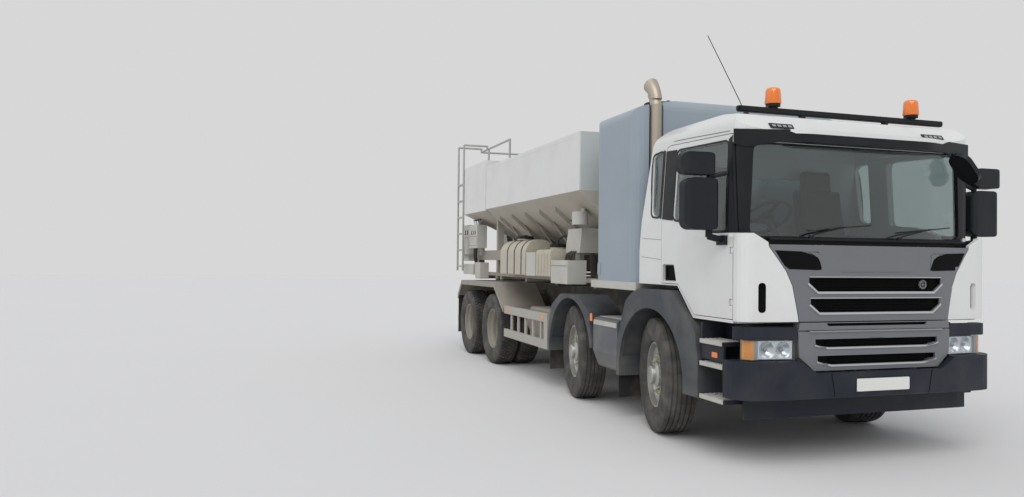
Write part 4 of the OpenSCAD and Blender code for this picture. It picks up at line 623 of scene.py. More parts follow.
# %% Wheel nuts and pointers
NUT_CIRCLE = 0.1675
NUTS = 10
# How far outside the wheel's middle plane the nuts sit, by axle.
NUT_FACE = {1: 0.060, 2: 0.060, 3: 0.015, 4: 0.015}
TONGUE = [(-0.012, 0.017), (0.0, 0.050), (0.012, 0.017)]


def round_wheel(bm, mat):
    bmesh.ops.recalc_face_normals(bm, faces=bm.faces)
    return baked(bm, ring_tree(mat), Count=NUTS, Radius=NUT_CIRCLE)


bm = bmesh.new()
turned(bm, [(0.0, 0.0), (0.023, 0.0), (0.023, 0.006), (0.0165, 0.007), (0.0165, 0.030),
            (0.013, 0.034), (0.011, 0.034), (0.011, 0.046), (0.0, 0.046)], 12)
nuts = round_wheel(bm, nut_steel)
bm = bmesh.new()
turned(bm, [(0.0168, 0.010), (0.0215, 0.010), (0.0215, 0.022), (0.0168, 0.022)], 12)
joined_rings(bm, [[(x, y, z) for x, y in TONGUE] for z in (0.010, 0.016)])
pointers = round_wheel(bm, indicator)
for axle in AXLES:
    for side, word in SIDES:
        tag = f"{axle}{word[0]}"
        place = wheel_place(axle, side) @ Matrix.Translation((0, 0, NUT_FACE[axle]))
        joined(f"nuts_{tag}", [(nuts, place)], nut_steel, f"wheel_{tag}")
        joined(f"nut_pointers_{tag}", [(pointers, place)], indicator, f"wheel_{tag}")
print("nuts:", NUTS * len(AXLES) * 2)

# %% [markdown]
# Thin trim has to lie on curved panels. Instead of guessing the curve, the script asks
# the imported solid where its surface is: a ray is sent at it and the hit gives the place.
# A flat outline can then be laid on the panel, cut into small faces that follow it.

# %% Laying trim on a packed panel
VIEWS = {"front": -FORWARD, "right": LEFTWARD, "left": -LEFTWARD}
FAR_AHEAD, FAR_OUT = FIRST_AXLE + 4.0, 2.5
CLEAR_HEIGHT = 1.49
SUNK = 0.001
reach = {"front": 2.5, "right": 1.3, "left": 1.3}
skins = {}


def ray(name, start, way):
    """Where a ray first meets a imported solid, or None."""
    if name not in skins:
        mesh = nodes[name].data
        skins[name] = BVHTree.FromPolygons([v.co.copy() for v in mesh.vertices],
                                           [tuple(p.vertices) for p in mesh.polygons])
    return skins[name].ray_cast(start, way)[0]


def ray_from_front(name, y, z):
    return ray(name, Vector((FAR_AHEAD, y, z)), -FORWARD)


def front_at(y):
    """The reach of the cab's front at a place across it, clear of slots and vents."""
    hit = ray_from_front("grille_hatch", y, CLEAR_HEIGHT)
    hit = hit or ray_from_front("corner_panels", y, CLEAR_HEIGHT)
    return hit.x if hit else FIRST_AXLE + 1.40


# %% Plates on a panel


def laid(name, outlines, on, view, depth, mat, body="truck", step=0.03, lift=0.0015):
    """Plates of even thickness on a solid, or, on "front", on the grille and its corners.
    Where no ray meets the solid, the last distance from the viewer is kept."""
    bm = bmesh.new()
    way = VIEWS[view]
    for outline in outlines:
        flat = bmesh.new()
        flat.faces.new([flat.verts.new((a, b, 0)) for a, b in outline])
        for axis, normal in ((0, FORWARD), (1, LEFTWARD)):
            low, high = min(p[axis] for p in outline), max(p[axis] for p in outline)
            for i in range(1, int((high - low) / step) + 1):
                bmesh.ops.bisect_plane(flat, geom=flat.verts[:] + flat.edges[:] + flat.faces[:],
                                       plane_co=normal * (low + i * step), plane_no=normal)
        back, front = {}, {}
        for v in flat.verts:
            a, b = v.co.xy
            start = Vector((FAR_AHEAD, a, b))
            if view != "front":
                start = Vector((a + FIRST_AXLE, -way.y * FAR_OUT, b))
            hit = Vector((front_at(a), a, b)) if on == "front" else ray(on, start, way)
            hit = hit or start + way * reach[view]
            reach[view] = (hit - start).length
            back[v] = bm.verts.new(hit + way * SUNK)
            front[v] = bm.verts.new(hit - way * (depth + lift))
        for face in flat.faces:
            bm.faces.new([front[v] for v in face.verts])
            bm.faces.new([back[v] for v in reversed(face.verts)])
        for edge in flat.edges:
            if edge.is_boundary:
                a, b = edge.verts
                bm.faces.new((back[a], back[b], front[b], front[a]))
        flat.free()
    add_piece(name, bm, mat, body)


# %% [markdown]
# The outlines themselves are flat figures: rectangles, rounded corners, and strips of
# even width along a row of points.

# %% Outlines
MOST_CUT = 0.45


def rectangle(a0, b0, a1, b1):
    return [(a0, b0), (a1, b0), (a1, b1), (a0, b1)]


def mirrored(outlines):
    return outlines + [[(-a, b) for a, b in outline] for outline in outlines]


def band(points, width):
    """The outline of a strip of even width along a row of points, on the left of it."""
    outer = []
    for i, (x, y) in enumerate(points):
        (ax, ay), (bx, by) = points[max(i - 1, 0)], points[min(i + 1, len(points) - 1)]
        share = width / math.hypot(bx - ax, by - ay)
        outer.append((x - (by - ay) * share, y + (bx - ax) * share))
    return list(points) + outer[::-1]


def rounded(corners, radius, steps=5):
    """Rounds the corners of a closed outline, each along less than half of its sides."""
    out = []
    for i, corner in enumerate(corners):
        middle = Vector(corner)
        a, b = (Vector(corners[j % len(corners)]) - middle for j in (i - 1, i + 1))
        cut = min(radius, a.length * MOST_CUT, b.length * MOST_CUT)
        for k in range(steps + 1):
            t = k / steps
            out.append(tuple(middle + a.normalized() * cut * (1 - t) ** 2
                             + b.normalized() * cut * t ** 2))
    return out


def between(inner, outer):
    """Short outlines that fill the space between two outlines with as many points."""
    return list(zip(inner, inner[1:] + inner[:1], outer[1:] + outer[:1], outer))


def frame_round(corners, radius, by):
    """A window's frame: outlines between the glass and a wider outline."""
    middle = sum((Vector(c) for c in corners), Vector((0, 0))) / len(corners)
    wider = [tuple(c[i] + math.copysign(by, c[i] - middle[i]) for i in (0, 1)) for c in corners]
    return between(rounded(corners, radius), rounded(wider, radius + by))


# %% [markdown]
# The side windows sit in one dark band, from the small rear pane to the windscreen. On
# the real cab this is black film and rubber round the glass; here it is thin trim laid on
# the white panels, in pieces that belong to the cab or to the door that they ride on.

# %% Black trim round the side windows
DOOR_GLASS = [(0.371, 2.535), (1.160, 2.512), (1.180, 1.815), (0.960, 1.820), (0.700, 1.905),
              (0.371, 1.935)]
REAR_GLASS = [(-0.070, 2.540), (0.120, 2.560), (0.120, 1.965), (-0.030, 1.985)]
FRAME_WIDTH = 0.016
door_trim = frame_round(DOOR_GLASS, 0.055, FRAME_WIDTH) + [
    [(0.176, 1.945), (0.362, 1.925), (0.362, 2.548), (0.176, 2.556)],
    [(1.176, 1.812), (1.232, 1.812), (1.212, 2.552), (1.165, 2.530)]]
rear_trim = frame_round(REAR_GLASS, 0.045, FRAME_WIDTH) + [
    [(0.128, 1.952), (0.158, 1.952), (0.158, 2.560), (0.128, 2.574)]]
for side, word in SIDES:
    door = f"door_{word}"
    laid(f"door_trim_{word}", door_trim, door, word, 0.003, black, door, 0.2)
    laid(f"quarter_trim_{word}", rear_trim, "cab_shell", word, 0.003, black, step=0.2)
print("trim outlines:", len(door_trim), len(rear_trim))

# %% [markdown]
# Fine lines tell the eye how large a panel is: dark lines of painted shade under the drip rail
# over the doors and in the crease behind them, the seams of the bumper, and painted shade in
# the grab recess at each door's lower corner.

# %% Seams, and painted shade in the creases and the grab recess
# Dark grey lines: painted shade under the drip rail and in the crease behind each door.
painted_shade_lines = [band([(0.30, 2.628), (0.70, 2.612), (1.17, 2.590)], 0.006),
              band([(-0.20, 1.782), (0.155, 1.760)], 0.003),
              band([(-0.225, 1.610), (0.155, 1.583)], 0.003)]
grab = rounded([(0.192, 1.400), (0.418, 1.400), (0.378, 1.536), (0.192, 1.536)], 0.02)
pull = [((0.215, -1.190, 1.420), (0.240, -1.178, 1.520))]
for side, word in SIDES:
    door = f"door_{word}"
    laid(f"painted_shade_lines_{word}", painted_shade_lines, "cab_shell", word, 0.0015, locker_grey, step=0.3,
         lift=0.0)
    # A near-black plate on the door: painted shade of the grab recess.
    laid(f"grab_recess_shade_{word}", [grab], door, word, 0.002, deep_black, door, 0.5)
    boxes(f"door_pull_{word}", pull if side == RIGHT else flipped(pull), black, door, 0.005)
bumper_seams = mirrored([band([(-0.486, 0.728), (-0.455, 0.545)], 0.005)])
laid("bumper_seams", bumper_seams, "bumper", "front", 0.0020, deep_black, step=0.01, lift=0.0)

# %% [markdown]
# The grille is the truck's face. Its slots are backed by dark mesh, its upper corners
# are dark air vents that sweep in from the corner panels, and every slot has a bright
# bevelled ledge. The mesh colour comes from a mask by depth, because it follows the
# packed slots exactly; vents and ledges are laid on the curved front.

# %% Grille vents, ledges and lock
VENT = [(-0.925, 1.662), (-0.705, 1.655), (-0.585, 1.622), (-0.545, 1.580), (-0.530, 1.519),
        (-0.560, 1.514), (-0.826, 1.520), (-0.878, 1.592)]
VENT_CORNER = [(-0.640, 1.652), (-0.543, 1.648), (-0.530, 1.535), (-0.560, 1.606)]
LOCK = [(0.0, 0.0), (0.036, 0.0), (0.040, 0.006), (0.036, 0.014), (0.026, 0.014),
        (0.022, 0.006), (0.012, 0.006), (0.010, 0.012), (0.0, 0.012)]
# Each slot: its low and high edge, and half its width at the top and at the foot.
SLOTS = [(1.350, 1.455, 0.640, 0.560), (1.190, 1.293, 0.626, 0.545)]
LOWER_SLOTS = [(0.923, 0.985, 0.590, 0.470), (0.789, 0.857, 0.570, 0.440)]


def slot_ledge(low, high, top_half, foot_half, width=0.016):
    """The bright bevel that runs under a slot and up its slanting ends."""
    top, foot = (top_half + 0.006, high - 0.040), (foot_half + 0.004, low - 0.002)
    return band([top, foot, (-foot[0], foot[1]), (-top[0], top[1])], width)


def on_grille(name, outlines, depth, mat=ledge_silver, on="grille_hatch", step=0.06):
    """Trim on the hatch, which opens with it, or on the fixed lower grille."""
    body = "truck" if on == "lower_grille" else "grille_hatch"
    laid(name, outlines, on, "front", depth, mat, body, step)


on_grille("grille_vents", mirrored([VENT]), 0.002, deep_black, "front", 0.04)
over_slots = [band([(-0.64, high + 0.004), (0.64, high + 0.004)], 0.006)
              for _, high, _, _ in SLOTS]
on_grille("upper_ledges", [slot_ledge(*s) for s in SLOTS] + over_slots, 0.006)
on_grille("lower_ledges", [slot_ledge(*s, 0.013) for s in LOWER_SLOTS], 0.006,
          on="lower_grille")
on_grille("name_band", mirrored([band([(-0.34, 1.500), (-0.02, 1.500)], 0.003)]), 0.003, silver,
          step=0.2)
on_grille("vent_corners", mirrored([VENT_CORNER]), 0.002, silver, "front", 0.2)
on_grille("grille_shelf", [rectangle(-0.640, 1.040, 0.640, 1.053)], 0.012, on="lower_grille")
lock_place = Matrix.Translation(at(1.430, 0.474, 1.404)) @ Matrix.Rotation(math.pi / 2, 4, "Y")
turned_piece("grille_lock", [(LOCK, 32, lock_place)], silver, "grille_hatch", 0.7)
# A near-black plate on the lower grille: painted shade of a small notch.
laid("lower_notch_shade", [[(-0.08, 0.990), (-0.065, 0.976), (0.035, 0.976), (0.05, 0.990)]],
     "lower_grille", "front", 0.002, deep_black, step=0.2)

# %% [markdown]
# A blank plate, white with a raised rim, is screwed to the bumper. Registration plates
# carry a number on a real truck; this one stays empty.

# %% Blank plate
rim = rounded(rectangle(-0.260, 0.577, 0.260, 0.688), 0.012)
inside = rounded(rectangle(-0.254, 0.583, 0.254, 0.682), 0.010)
laid("plate_base", [rim], "bumper", "front", 0.0015, plate_white, step=0.2, lift=0.0006)
laid("plate_rim", between(rim, inside), "bumper", "front", 0.0025, black, step=0.5, lift=0.0004)

# %% [markdown]
# A headlamp is a clear cover over a chrome tray with two round bowls, and an amber lamp
# at its outer end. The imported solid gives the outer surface. The cover is a thin sheet on
# that surface, and the tray is a second sheet behind it that dips into two bowls.

# %% Headlamps
LAMP_LOW, LAMP_HIGH, LAMP_IN, LAMP_OUT = 0.826, 0.980, 0.752, 1.147
LAMP_MIDDLE = (LAMP_LOW + LAMP_HIGH) / 2
AMBER_FROM = 1.085
# Each bowl: its place across the truck, and its radius.
BOWLS = [(0.835, 0.062), (0.970, 0.066)]
BOWL_DEPTH, BULB_DEPTH, BULB_RADIUS = 0.045, 0.045, 0.016
# Each sheet: name, finish, reach across, inset from the lamp's edges, columns and rows,
# depth behind the surface, thickness and bowls.
LAMP_SHEETS = (
    ("tray", chrome, LAMP_IN + 0.010, AMBER_FROM - 0.03, 0.008, 60, 28, 0.022, 0.004, BOWLS),
    ("amber", lamp_orange, AMBER_FROM, LAMP_OUT - 0.004, 0.006, 10, 10, 0.006, 0.04, ()),
    ("rib", lamp_grey, AMBER_FROM - 0.03, AMBER_FROM, 0.006, 4, 4, 0.008, 0.04, ()),
    ("cover", lamp_lens, LAMP_IN, LAMP_OUT, 0.0, 40, 6, 0.0, 0.003, ()),
    ("shell", lamp_grey, LAMP_IN, LAMP_OUT - 0.02, -0.002, 20, 4, 0.075, 0.03, ()))


def lamp_sheet(side, y0, y1, inset, columns, rows, behind, thick, bowls):
    """A closed sheet that follows the lamp's front at a distance behind it."""
    bm = bmesh.new()
    front, back = [], []
    z0, z1 = LAMP_LOW + inset, LAMP_HIGH - inset
    for i in range(columns + 1):
        y = y0 + (y1 - y0) * i / columns
        hit = ray_from_front("headlamps", side * y, LAMP_MIDDLE)
        x = hit.x if hit else x
        for j in range(rows + 1):
            z = z0 + (z1 - z0) * j / rows
            dip = behind
            for middle, radius in bowls:
                share = math.hypot(y - middle, z - LAMP_MIDDLE) / radius
                dip += BOWL_DEPTH * max(0.0, 1 - share ** 2)
            front.append(bm.verts.new((x - dip, side * y, z)))
            back.append(bm.verts.new((x - dip - thick, side * y, z)))
    row = rows + 1
    for i in range(columns):
        for j in range(rows):
            a, d = i * row + j, i * row + j + 1
            b, c = a + row, d + row
            bm.faces.new((front[a], front[b], front[c], front[d]))
            bm.faces.new((back[d], back[c], back[b], back[a]))
    edge = [i * row for i in range(columns + 1)] + [columns * row + j for j in range(1, row)]
    edge += [i * row + rows for i in range(columns - 1, -1, -1)] + list(range(rows - 1, 0, -1))
    for a, b in zip(edge, edge[1:] + edge[:1]):
        bm.faces.new((front[a], back[a], back[b], front[b]))
    return bm


# %% The lamps' pieces
for side, word in SIDES:
    for part, mat, *measures in LAMP_SHEETS:
        piece = add_piece(f"lamp_{part}_{word}", lamp_sheet(side, *measures), mat)
        if part == "tray":
            smooth(piece, 0.5)
        if part == "shell" and side == RIGHT:
            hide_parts("headlamps")
    bulbs = bmesh.new()
    for y, _ in BOWLS:
        hit = ray_from_front("headlamps", side * y, LAMP_MIDDLE)
        ball_into(bulbs, hit - FORWARD * BULB_DEPTH, BULB_RADIUS, 20, 12)
    add_piece(f"lamp_bulbs_{word}", bulbs, lamp_grey)

# %% [markdown]
# Orange beacons stand on the light bar. Each dome is a turned shell with shallow ribs,
# as moulded lenses have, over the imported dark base.

# %% Beacons and roof markers
BEACON = (1.080, 0.700, 2.850)
DOME = [(0.0, 0.0), (0.0645, 0.0), (0.0660, 0.006), (0.0600, 0.100), (0.0560, 0.118),
        (0.0450, 0.129), (0.0250, 0.134), (0.0, 0.135)]
DOME_RIBS, RIB_HEIGHT = 20, 0.012


def dome_ribs(radius, angle):
    return 1 + RIB_HEIGHT * math.cos(angle * DOME_RIBS)


for side, word in SIDES:
    place = Matrix.Translation(at(BEACON[0], side * BEACON[1], BEACON[2]))
    turned_piece(f"beacon_{word}", [(DOME, 40, place, dome_ribs)], amber, smoothed=0.9)
boxes("light_bar_cover", [((1.056, -1.034, 2.770), (1.104, 1.034, 2.818))], black, bevel=0.008)
markers = mirrored([rounded(rectangle(-0.860, 2.622, -0.645, 2.662), 0.006)])
laid("roof_markers", markers, "cab_shell", "front", 0.012, black, step=0.05)
lenses = mirrored([rounded(rectangle(y - 0.017, 2.632, y + 0.017, 2.652), 0.004)
                   for y in (-0.826, -0.777, -0.728, -0.679)])
laid("roof_marker_lenses", lenses, "cab_shell", "front", 0.0145, lamp_grey, step=0.1)

# %% [markdown]
# Hoses, wipers and the aerial are round bars along paths with rounded corners.

# %% Bars along bent paths


def bent(points, steps=5):
    """A path with its corners rounded, from points on the drawing."""
    rows = [at(*p) for p in points]
    out = [rows[0]]
    for before, corner, after in zip(rows, rows[1:], rows[2:]):
        a, b = (before - corner) * 0.4, (after - corner) * 0.4
        out += [corner + a * (1 - t / steps) ** 2 + b * (t / steps) ** 2 for t in range(steps + 1)]
    return out + [rows[-1]]


def bars(name, paths, radius, mat, sides=10):
    """Round bars along bent paths, baked into one piece."""
    tree = geometry_tree(round_bar, mat, Path="Geometry", Radius="Float", Sides="Int")
    bm = bmesh.new()
    for points in paths:
        path = bmesh.new()
        verts = [path.verts.new(p) for p in bent(points)]
        for a, b in zip(verts, verts[1:]):
            path.edges.new((a, b))
        bm.from_mesh(baked(path, tree, Radius=radius, Sides=sides))
    bmesh.ops.remove_doubles(bm, verts=bm.verts, dist=1e-5)
    smooth(add_piece(name, bm, mat), 0.9)


# %% [markdown]
# Two wipers rest at the foot of the windscreen. Each has a spindle, an arm that rises to
# the middle of its blade, and a long thin blade that lies along the glass.

# %% Wipers and aerial
WIPERS = (-0.560, 0.300)
HUB = [(0.0, 0.0), (0.024, 0.0), (0.024, 0.020), (0.016, 0.030), (0.0, 0.030)]
AERIAL_FOOT = [(0.0, -0.004), (0.026, -0.004), (0.024, 0.012), (0.012, 0.030), (0.0, 0.034)]


def on_screen(y, z, off):
    """A point of the drawing at a small distance in front of the windscreen."""
    return (ray_from_front("cab_glass", y, z).x - FIRST_AXLE + off, y, z)


arms, blades, hubs = [], [], []
for foot in WIPERS:
    arms.append([(1.378, foot, 1.776), (1.385, foot + 0.02, 1.790),
                 on_screen(foot + 0.31, 1.850, 0.028), on_screen(foot + 0.36, 1.856, 0.022)])
    blades.append([on_screen(foot + 0.02 + 0.12 * i, 1.822 + 0.011 * i, 0.010)
                   for i in range(6)])
    hubs.append((HUB, 20, Matrix.Translation(at(1.376, foot, 1.756))))
bars("wiper_arms", arms, 0.007, black)
bars("wiper_blades", blades, 0.006, flap_black)
turned_piece("wiper_hubs", hubs, black)
roof = ray("cab_shell", at(1.00, -0.90, 4.0), -UPWARD)
x, y, z = roof.x - FIRST_AXLE, roof.y, roof.z
bars("aerial", [[(x, y, z), (x - 0.10, y, z + 0.15), (0.42, -0.90, 3.562)]], 0.0035, black, 8)
turned_piece("aerial_foot", [(AERIAL_FOOT, 20, Matrix.Translation(roof))], black)

# %% [markdown]
# Steps are worn bright and dusty. Each tread gets a thin plate with rows of raised
# cleats for grip, copied along a line, and a bright front edge.

# %% Step treads, markers and locker tops
# Each tread: its height, and how far forward it reaches.
TREADS = [(0.945, 1.195), (0.765, 1.205), (0.500, 1.215)]
CLEATS, CLEAT_STEP, CLEAT_ROWS, ROW_STEP = 8, 0.036, 4, 0.042
spans = [((0.885, -1.226, top), (front - 0.012, -1.030, top + 0.004)) for top, front in TREADS]
spans += [((0.875, -1.236, top - 0.030), (front - 0.004, -1.226, top + 0.006))
          for top, front in TREADS]
boxes("tread_plates", both_sides(spans), tread_metal, bevel=0.0015)
bm = bmesh.new()
box_into(bm, (0, -0.006, 0), (0.024, 0.006, 0.005))
line = geometry_tree(along_line, tread_metal, Piece="Geometry", Count="Int", Step="Vector")
cleat_row = baked(bm, line, Count=CLEATS, Step=(CLEAT_STEP, 0.0, 0.0))
cleats = [(cleat_row, Matrix.Translation(at(0.900, side * (1.070 + ROW_STEP * row), top + 0.0038)))
          for top, _ in TREADS for row in range(CLEAT_ROWS) for side, _ in SIDES]
joined("tread_cleats", cleats, tread_metal, "truck")
for name, low, high in (("step_markers", (1.030, -1.222, 0.815), (1.110, -1.214, 0.857)),
                        ("arch_markers", (-1.318, -1.246, 0.925), (-1.262, -1.236, 1.005))):
    boxes(name, both_sides([(low, high)]), amber, bevel=0.003)
bands = [((-1.255, -1.229, 0.895), (-0.700, -1.2225, 0.945)),
         ((-1.255, -1.160, 0.976), (-0.700, -0.580, 0.981))]
boxes("locker_bands", both_sides(bands), tread_metal)

# %% [markdown]
# The exhaust stack ends in a flared mouth that bends back, so rain runs past it. It is a
# tube whose rings grow and turn along a short arc, with a second wall inside.

# %% Flared stack mouth
STACK = (-0.400, -0.966)
MOUTH_FROM = 3.150
MOUTH_LEAN = math.radians(55)
CLAMP = [(0.0572, -0.018), (0.062, -0.018), (0.064, 0.0), (0.062, 0.018), (0.0572, 0.018)]


def mouth_ring(share, radius, sides=28):
    """A ring of the mouth: share runs along the bend from the pipe to the open end."""
    turn = Matrix.Rotation(-MOUTH_LEAN * share, 3, "Y")
    centre = at(STACK[0] - 0.105 * share ** 1.6, STACK[1], MOUTH_FROM + 0.155 * share)
    angles = [2 * math.pi * i / sides for i in range(sides)]
    return [centre + turn @ Vector((radius * math.cos(a), radius * math.sin(a), 0))
            for a in angles]


shares = [0, 0.2, 0.4, 0.6, 0.8, 1.0]
bm = bmesh.new()
joined_rings(bm, [mouth_ring(s, 0.0595 + 0.017 * s ** 2) for s in shares]
             + [mouth_ring(s, 0.0545 + 0.018 * s ** 2) for s in shares[::-1]], capped=False)
smooth(add_piece("stack_mouth", bm, stack_steel), 0.9)
clamps = [(CLAMP, 32, Matrix.Translation(at(*STACK, height))) for height in (1.75, 2.45)]
turned_piece("stack_clamps", clamps, dull_steel)

# %% [markdown]
# The plastic tanks are held by dark straps that follow their round shoulders. A strap is
# a thin ribbon: the tank's outline, set out by its own thickness, and given a width.

# %% Tank straps, caps and port
TANK_IN, TANK_OUT, TANK_LOW, TANK_HIGH, TANK_ROUND = 0.770, 1.190, 1.360, 1.850, 0.190
STRAP_WIDTH, STRAP_THICK, STRAP_GAP = 0.030, 0.004, 0.0008


def shoulder(side):
    """The outline over a tank from its outer foot to its inner foot."""
    points = [(TANK_OUT, TANK_LOW + 0.01)]
    for middle, start in ((TANK_OUT - TANK_ROUND, 0), (TANK_IN + TANK_ROUND, math.pi / 2)):
        for i in range(11):
            a = start + math.pi / 2 * i / 10
            points.append((middle + TANK_ROUND * math.cos(a),
                           TANK_HIGH - TANK_ROUND + TANK_ROUND * math.sin(a)))
    return [Vector((side * y, z)) for y, z in points + [(TANK_IN, TANK_LOW + 0.01)]]


def strap_rings(x, outline):
    """The sections of a ribbon across a tank at x, set outwards from its outline."""
    middle = sum(outline, Vector((0, 0))) / len(outline)
    rings = []
    for i, point in enumerate(outline):
        along = outline[min(i + 1, len(outline) - 1)] - outline[max(i - 1, 0)]
        out = Vector((along.y, -along.x)).normalized()
        if out.dot(point - middle) < 0:
            out = -out
        near, far = point + out * STRAP_GAP, point + out * STRAP_THICK
        rings.append([at(x + s * STRAP_WIDTH / 2, p.x, p.y)
                      for s, p in ((-1, near), (1, near), (1, far), (-1, far))])
    return rings


bm = bmesh.new()
for side, _ in SIDES:
    for x in (-4.42, -4.10, -3.80):
        joined_rings(bm, strap_rings(x, shoulder(side)))
add_piece("tank_straps", bm, black)
laid("water_port", [rounded(rectangle(-1.262, 1.420, -1.150, 1.540), 0.015)], "water_tank",
     "right", 0.006, tank_white, step=0.1)
# Each lid: its place and its radius.
LIDS = [(-0.870, -0.700, 3.194, 0.136), (-0.870, 0.700, 3.194, 0.136),
        (-0.640, -0.700, 3.166, 0.058), (-4.240, -0.980, 1.888, 0.116),
        (-4.240, 0.980, 1.888, 0.116), (-2.935, -0.980, 1.753, 0.112)]
GRIPS, GRIP_HEIGHT = 16, 0.02


def lid(x, y, z, r):
    """A screw lid with a knob in its middle and grips round its edge."""
    def grips(radius, angle):
        return 1 + (GRIP_HEIGHT * math.cos(angle * GRIPS) if radius > r * 0.97 else 0)

    outline = [(0.0, 0.001), (r * 0.9, 0.001), (r * 0.9, -0.020), (r, -0.020), (r, 0.012),
               (r * 0.94, 0.020), (r * 0.30, 0.022), (r * 0.26, 0.034), (0.0, 0.036)]
    return outline, 32, Matrix.Translation(at(x, y, z)), grips


turned_piece("tank_lids", [lid(*measures) for measures in LIDS], black)

# %% [markdown]
# Mirror glass faces backwards. Each head gets a pane in a shallow frame on its rear
# face, found by sending a ray forwards at the head.

# %% Mirror glass
# Each pane: its low and high edge, and its inner and outer edge.
PANES = [(1.850, 2.180, 1.300, 1.520), (2.262, 2.390, 1.325, 1.555)]
for side, word in SIDES:
    bm = bmesh.new()
    for low, high, inner, outer in PANES:
        middle = at(0.2, side * (inner + outer) / 2, (low + high) / 2)
        x = ray(f"mirror_{word}", middle, FORWARD).x
        a, b = sorted((side * inner, side * outer))
        box_into(bm, (x - 0.003, a, low), (x + 0.002, b, high))
    add_piece(f"mirror_panes_{word}", bm, mirror_pane, f"door_{word}", 0.001)

# %% [markdown]
# Each corner panel has a tall rounded air slot, turned outwards. The imported panel has
# the recess; a near-black blade on its floor is painted shade in the slot.

# %% Corner slots
SLOT_TURN = math.radians(35)
blade = rounded(rectangle(-0.026, -0.112, 0.026, 0.112), 0.0255, 6)
bm = bmesh.new()
for side, _ in SIDES:
    out = Vector((math.cos(SLOT_TURN), side * math.sin(SLOT_TURN), 0))
    sideways = Vector((-out.y, out.x, 0))
    mouth = at(1.380, side * 1.005, 1.300)
    ground = ray("corner_panels", mouth + out * 0.4, -out) or mouth
    joined_rings(bm, [[ground + out * lift + sideways * a + UPWARD * b for a, b in blade]
                      for lift in (0.0008, 0.0030)])
add_piece("corner_slot_shade", bm, deep_black)

# %% [markdown]
# The visor under the roof is cut away in its middle, where the white roof edge comes
# down over it. A thin white lip lies on the visor between its two raised ends.

# %% Roof lip
lip = [(-0.790, 2.603), (-0.700, 2.570), (0.760, 2.570), (0.860, 2.603)]
laid("roof_lip", [lip], "cab_trim", "front", 0.004, cab_white, step=0.05)

# %% [markdown]
# Lamps at the back: a cluster of four lenses at each end of the rear beam, and small
# round reflectors along the side guards. Each lens is a shallow turned cap.

# %% Rear lamps and reflectors
BEAM_MIDDLE = 0.520
REAR_LENSES = (("red", red_lens, (1.105, 0.955)), ("amber", amber, (1.030,)),
               ("lamp", chrome, (0.880,)))


def cap(centre, way, radius, height, sides=20):
    """A shallow round cap on a surface."""
    turn = UPWARD.rotation_difference(way).to_matrix().to_4x4()
    outline = [(0.0, -0.001), (radius, -0.001), (radius, height * 0.6), (radius * 0.8, height),
               (0.0, height)]
    return outline, sides, Matrix.Translation(centre) @ turn


def rear_lens(y, side):
    hit = ray("chassis_frame", at(-9, side * y, BEAM_MIDDLE), FORWARD)
    return cap(hit, -FORWARD, 0.031, 0.022)


def reflector(x, side):
    out = LEFTWARD * side
    return cap(ray("side_guards", at(x, side * 3, 0.855), -out), out, 0.030, 0.006)


for word, mat, places in REAR_LENSES:
    turned_piece(f"rear_lamps_{word}", [rear_lens(y, side) for y in places for side, _ in SIDES],
                 mat)
reflectors = [reflector(x, side) for x in (-4.20, -2.80) for side, _ in SIDES]
turned_piece("side_reflectors", reflectors, amber)

# %% [markdown]
# The crew works the machine from the boxes at its right rear: short levers on the valve
# box, a lidded panel with dials on the upright one, and hoses down to the frame. The
# levers and dials stand on the faces that a ray finds, so nothing hangs in the air.

# %% Controls and dials
LEVERS, LEVER_STEP = 6, 0.075
DIAL_DEPTH, FACE_AT, FACE_DEPTH, FACE_SHARE = 0.012, 0.0112, 0.003, 0.72
# Each dial: its place along the truck, its height and its radius.
DIALS = ((-7.17, 2.04, 0.040), (-7.04, 2.04, 0.040), (-6.66, 2.02, 0.030),
         (-6.54, 2.02, 0.030), (-6.42, 2.02, 0.030))
levers, knobs = bmesh.new(), bmesh.new()
for i in range(LEVERS):
    foot = ray("control_boxes", at(-6.72 + LEVER_STEP * i, -1.045, 3.0), -UPWARD)
    tip = foot + Vector((0.0, -0.020 + 0.008 * (i % 2), 0.085))
    rod_into(levers, foot - UPWARD * 0.004, tip, 0.005, 10)
    ball_into(knobs, tip, 0.013, 14, 8)
add_piece("valve_levers", levers, galvanised)
smooth(add_piece("lever_knobs", knobs, black), 0.9)
cases, faces = [], []
for x, z, radius in DIALS:
    hit = ray("control_boxes", at(x, -3, z), LEFTWARD)
    if hit:
        cases.append(cap(hit, -LEFTWARD, radius, DIAL_DEPTH, 28))
        faces.append(cap(hit - LEFTWARD * FACE_AT, -LEFTWARD, radius * FACE_SHARE, FACE_DEPTH,
                         24))
turned_piece("dial_cases", cases, black)
turned_piece("dial_faces", faces, plate_white)

# %% Box seams and hoses
seams = []
for edge in (rectangle(-7.22, 1.60, -6.98, 1.95), rectangle(-6.76, 1.80, -6.32, 1.96)):
    seams += [band([a, b], 0.006) for a, b in zip(edge, edge[1:] + edge[:1])]
seams.append(band([(-2.615, 1.500), (-2.085, 1.500)], 0.007))
laid("box_seams", seams, "control_boxes", "right", 0.0015, dull_steel, step=0.4, lift=0.0004)
hoses = [[(-6.72 + 0.07 * i, -1.05, 1.790), (-6.72 + 0.07 * i, -1.06, 1.600),
          (-6.70 + 0.05 * i, -1.03, 1.480)] for i in range(3)]
hoses += [[(-2.45 + 0.07 * i, -1.08, 1.560), (-2.45 + 0.07 * i, -1.06, 1.640),
           (-2.44 + 0.07 * i, -0.99, 1.680)] for i in range(3)]
hoses += [[(-2.86, -1.00, 1.700), (-2.86, -1.02, 1.830), (-2.74, -0.98, 1.880),
           (-2.60, -0.92, 1.860)],
          [(-3.64, -0.98, 1.480), (-3.60, -0.98, 1.470), (-3.575, -0.98, 1.470)]]
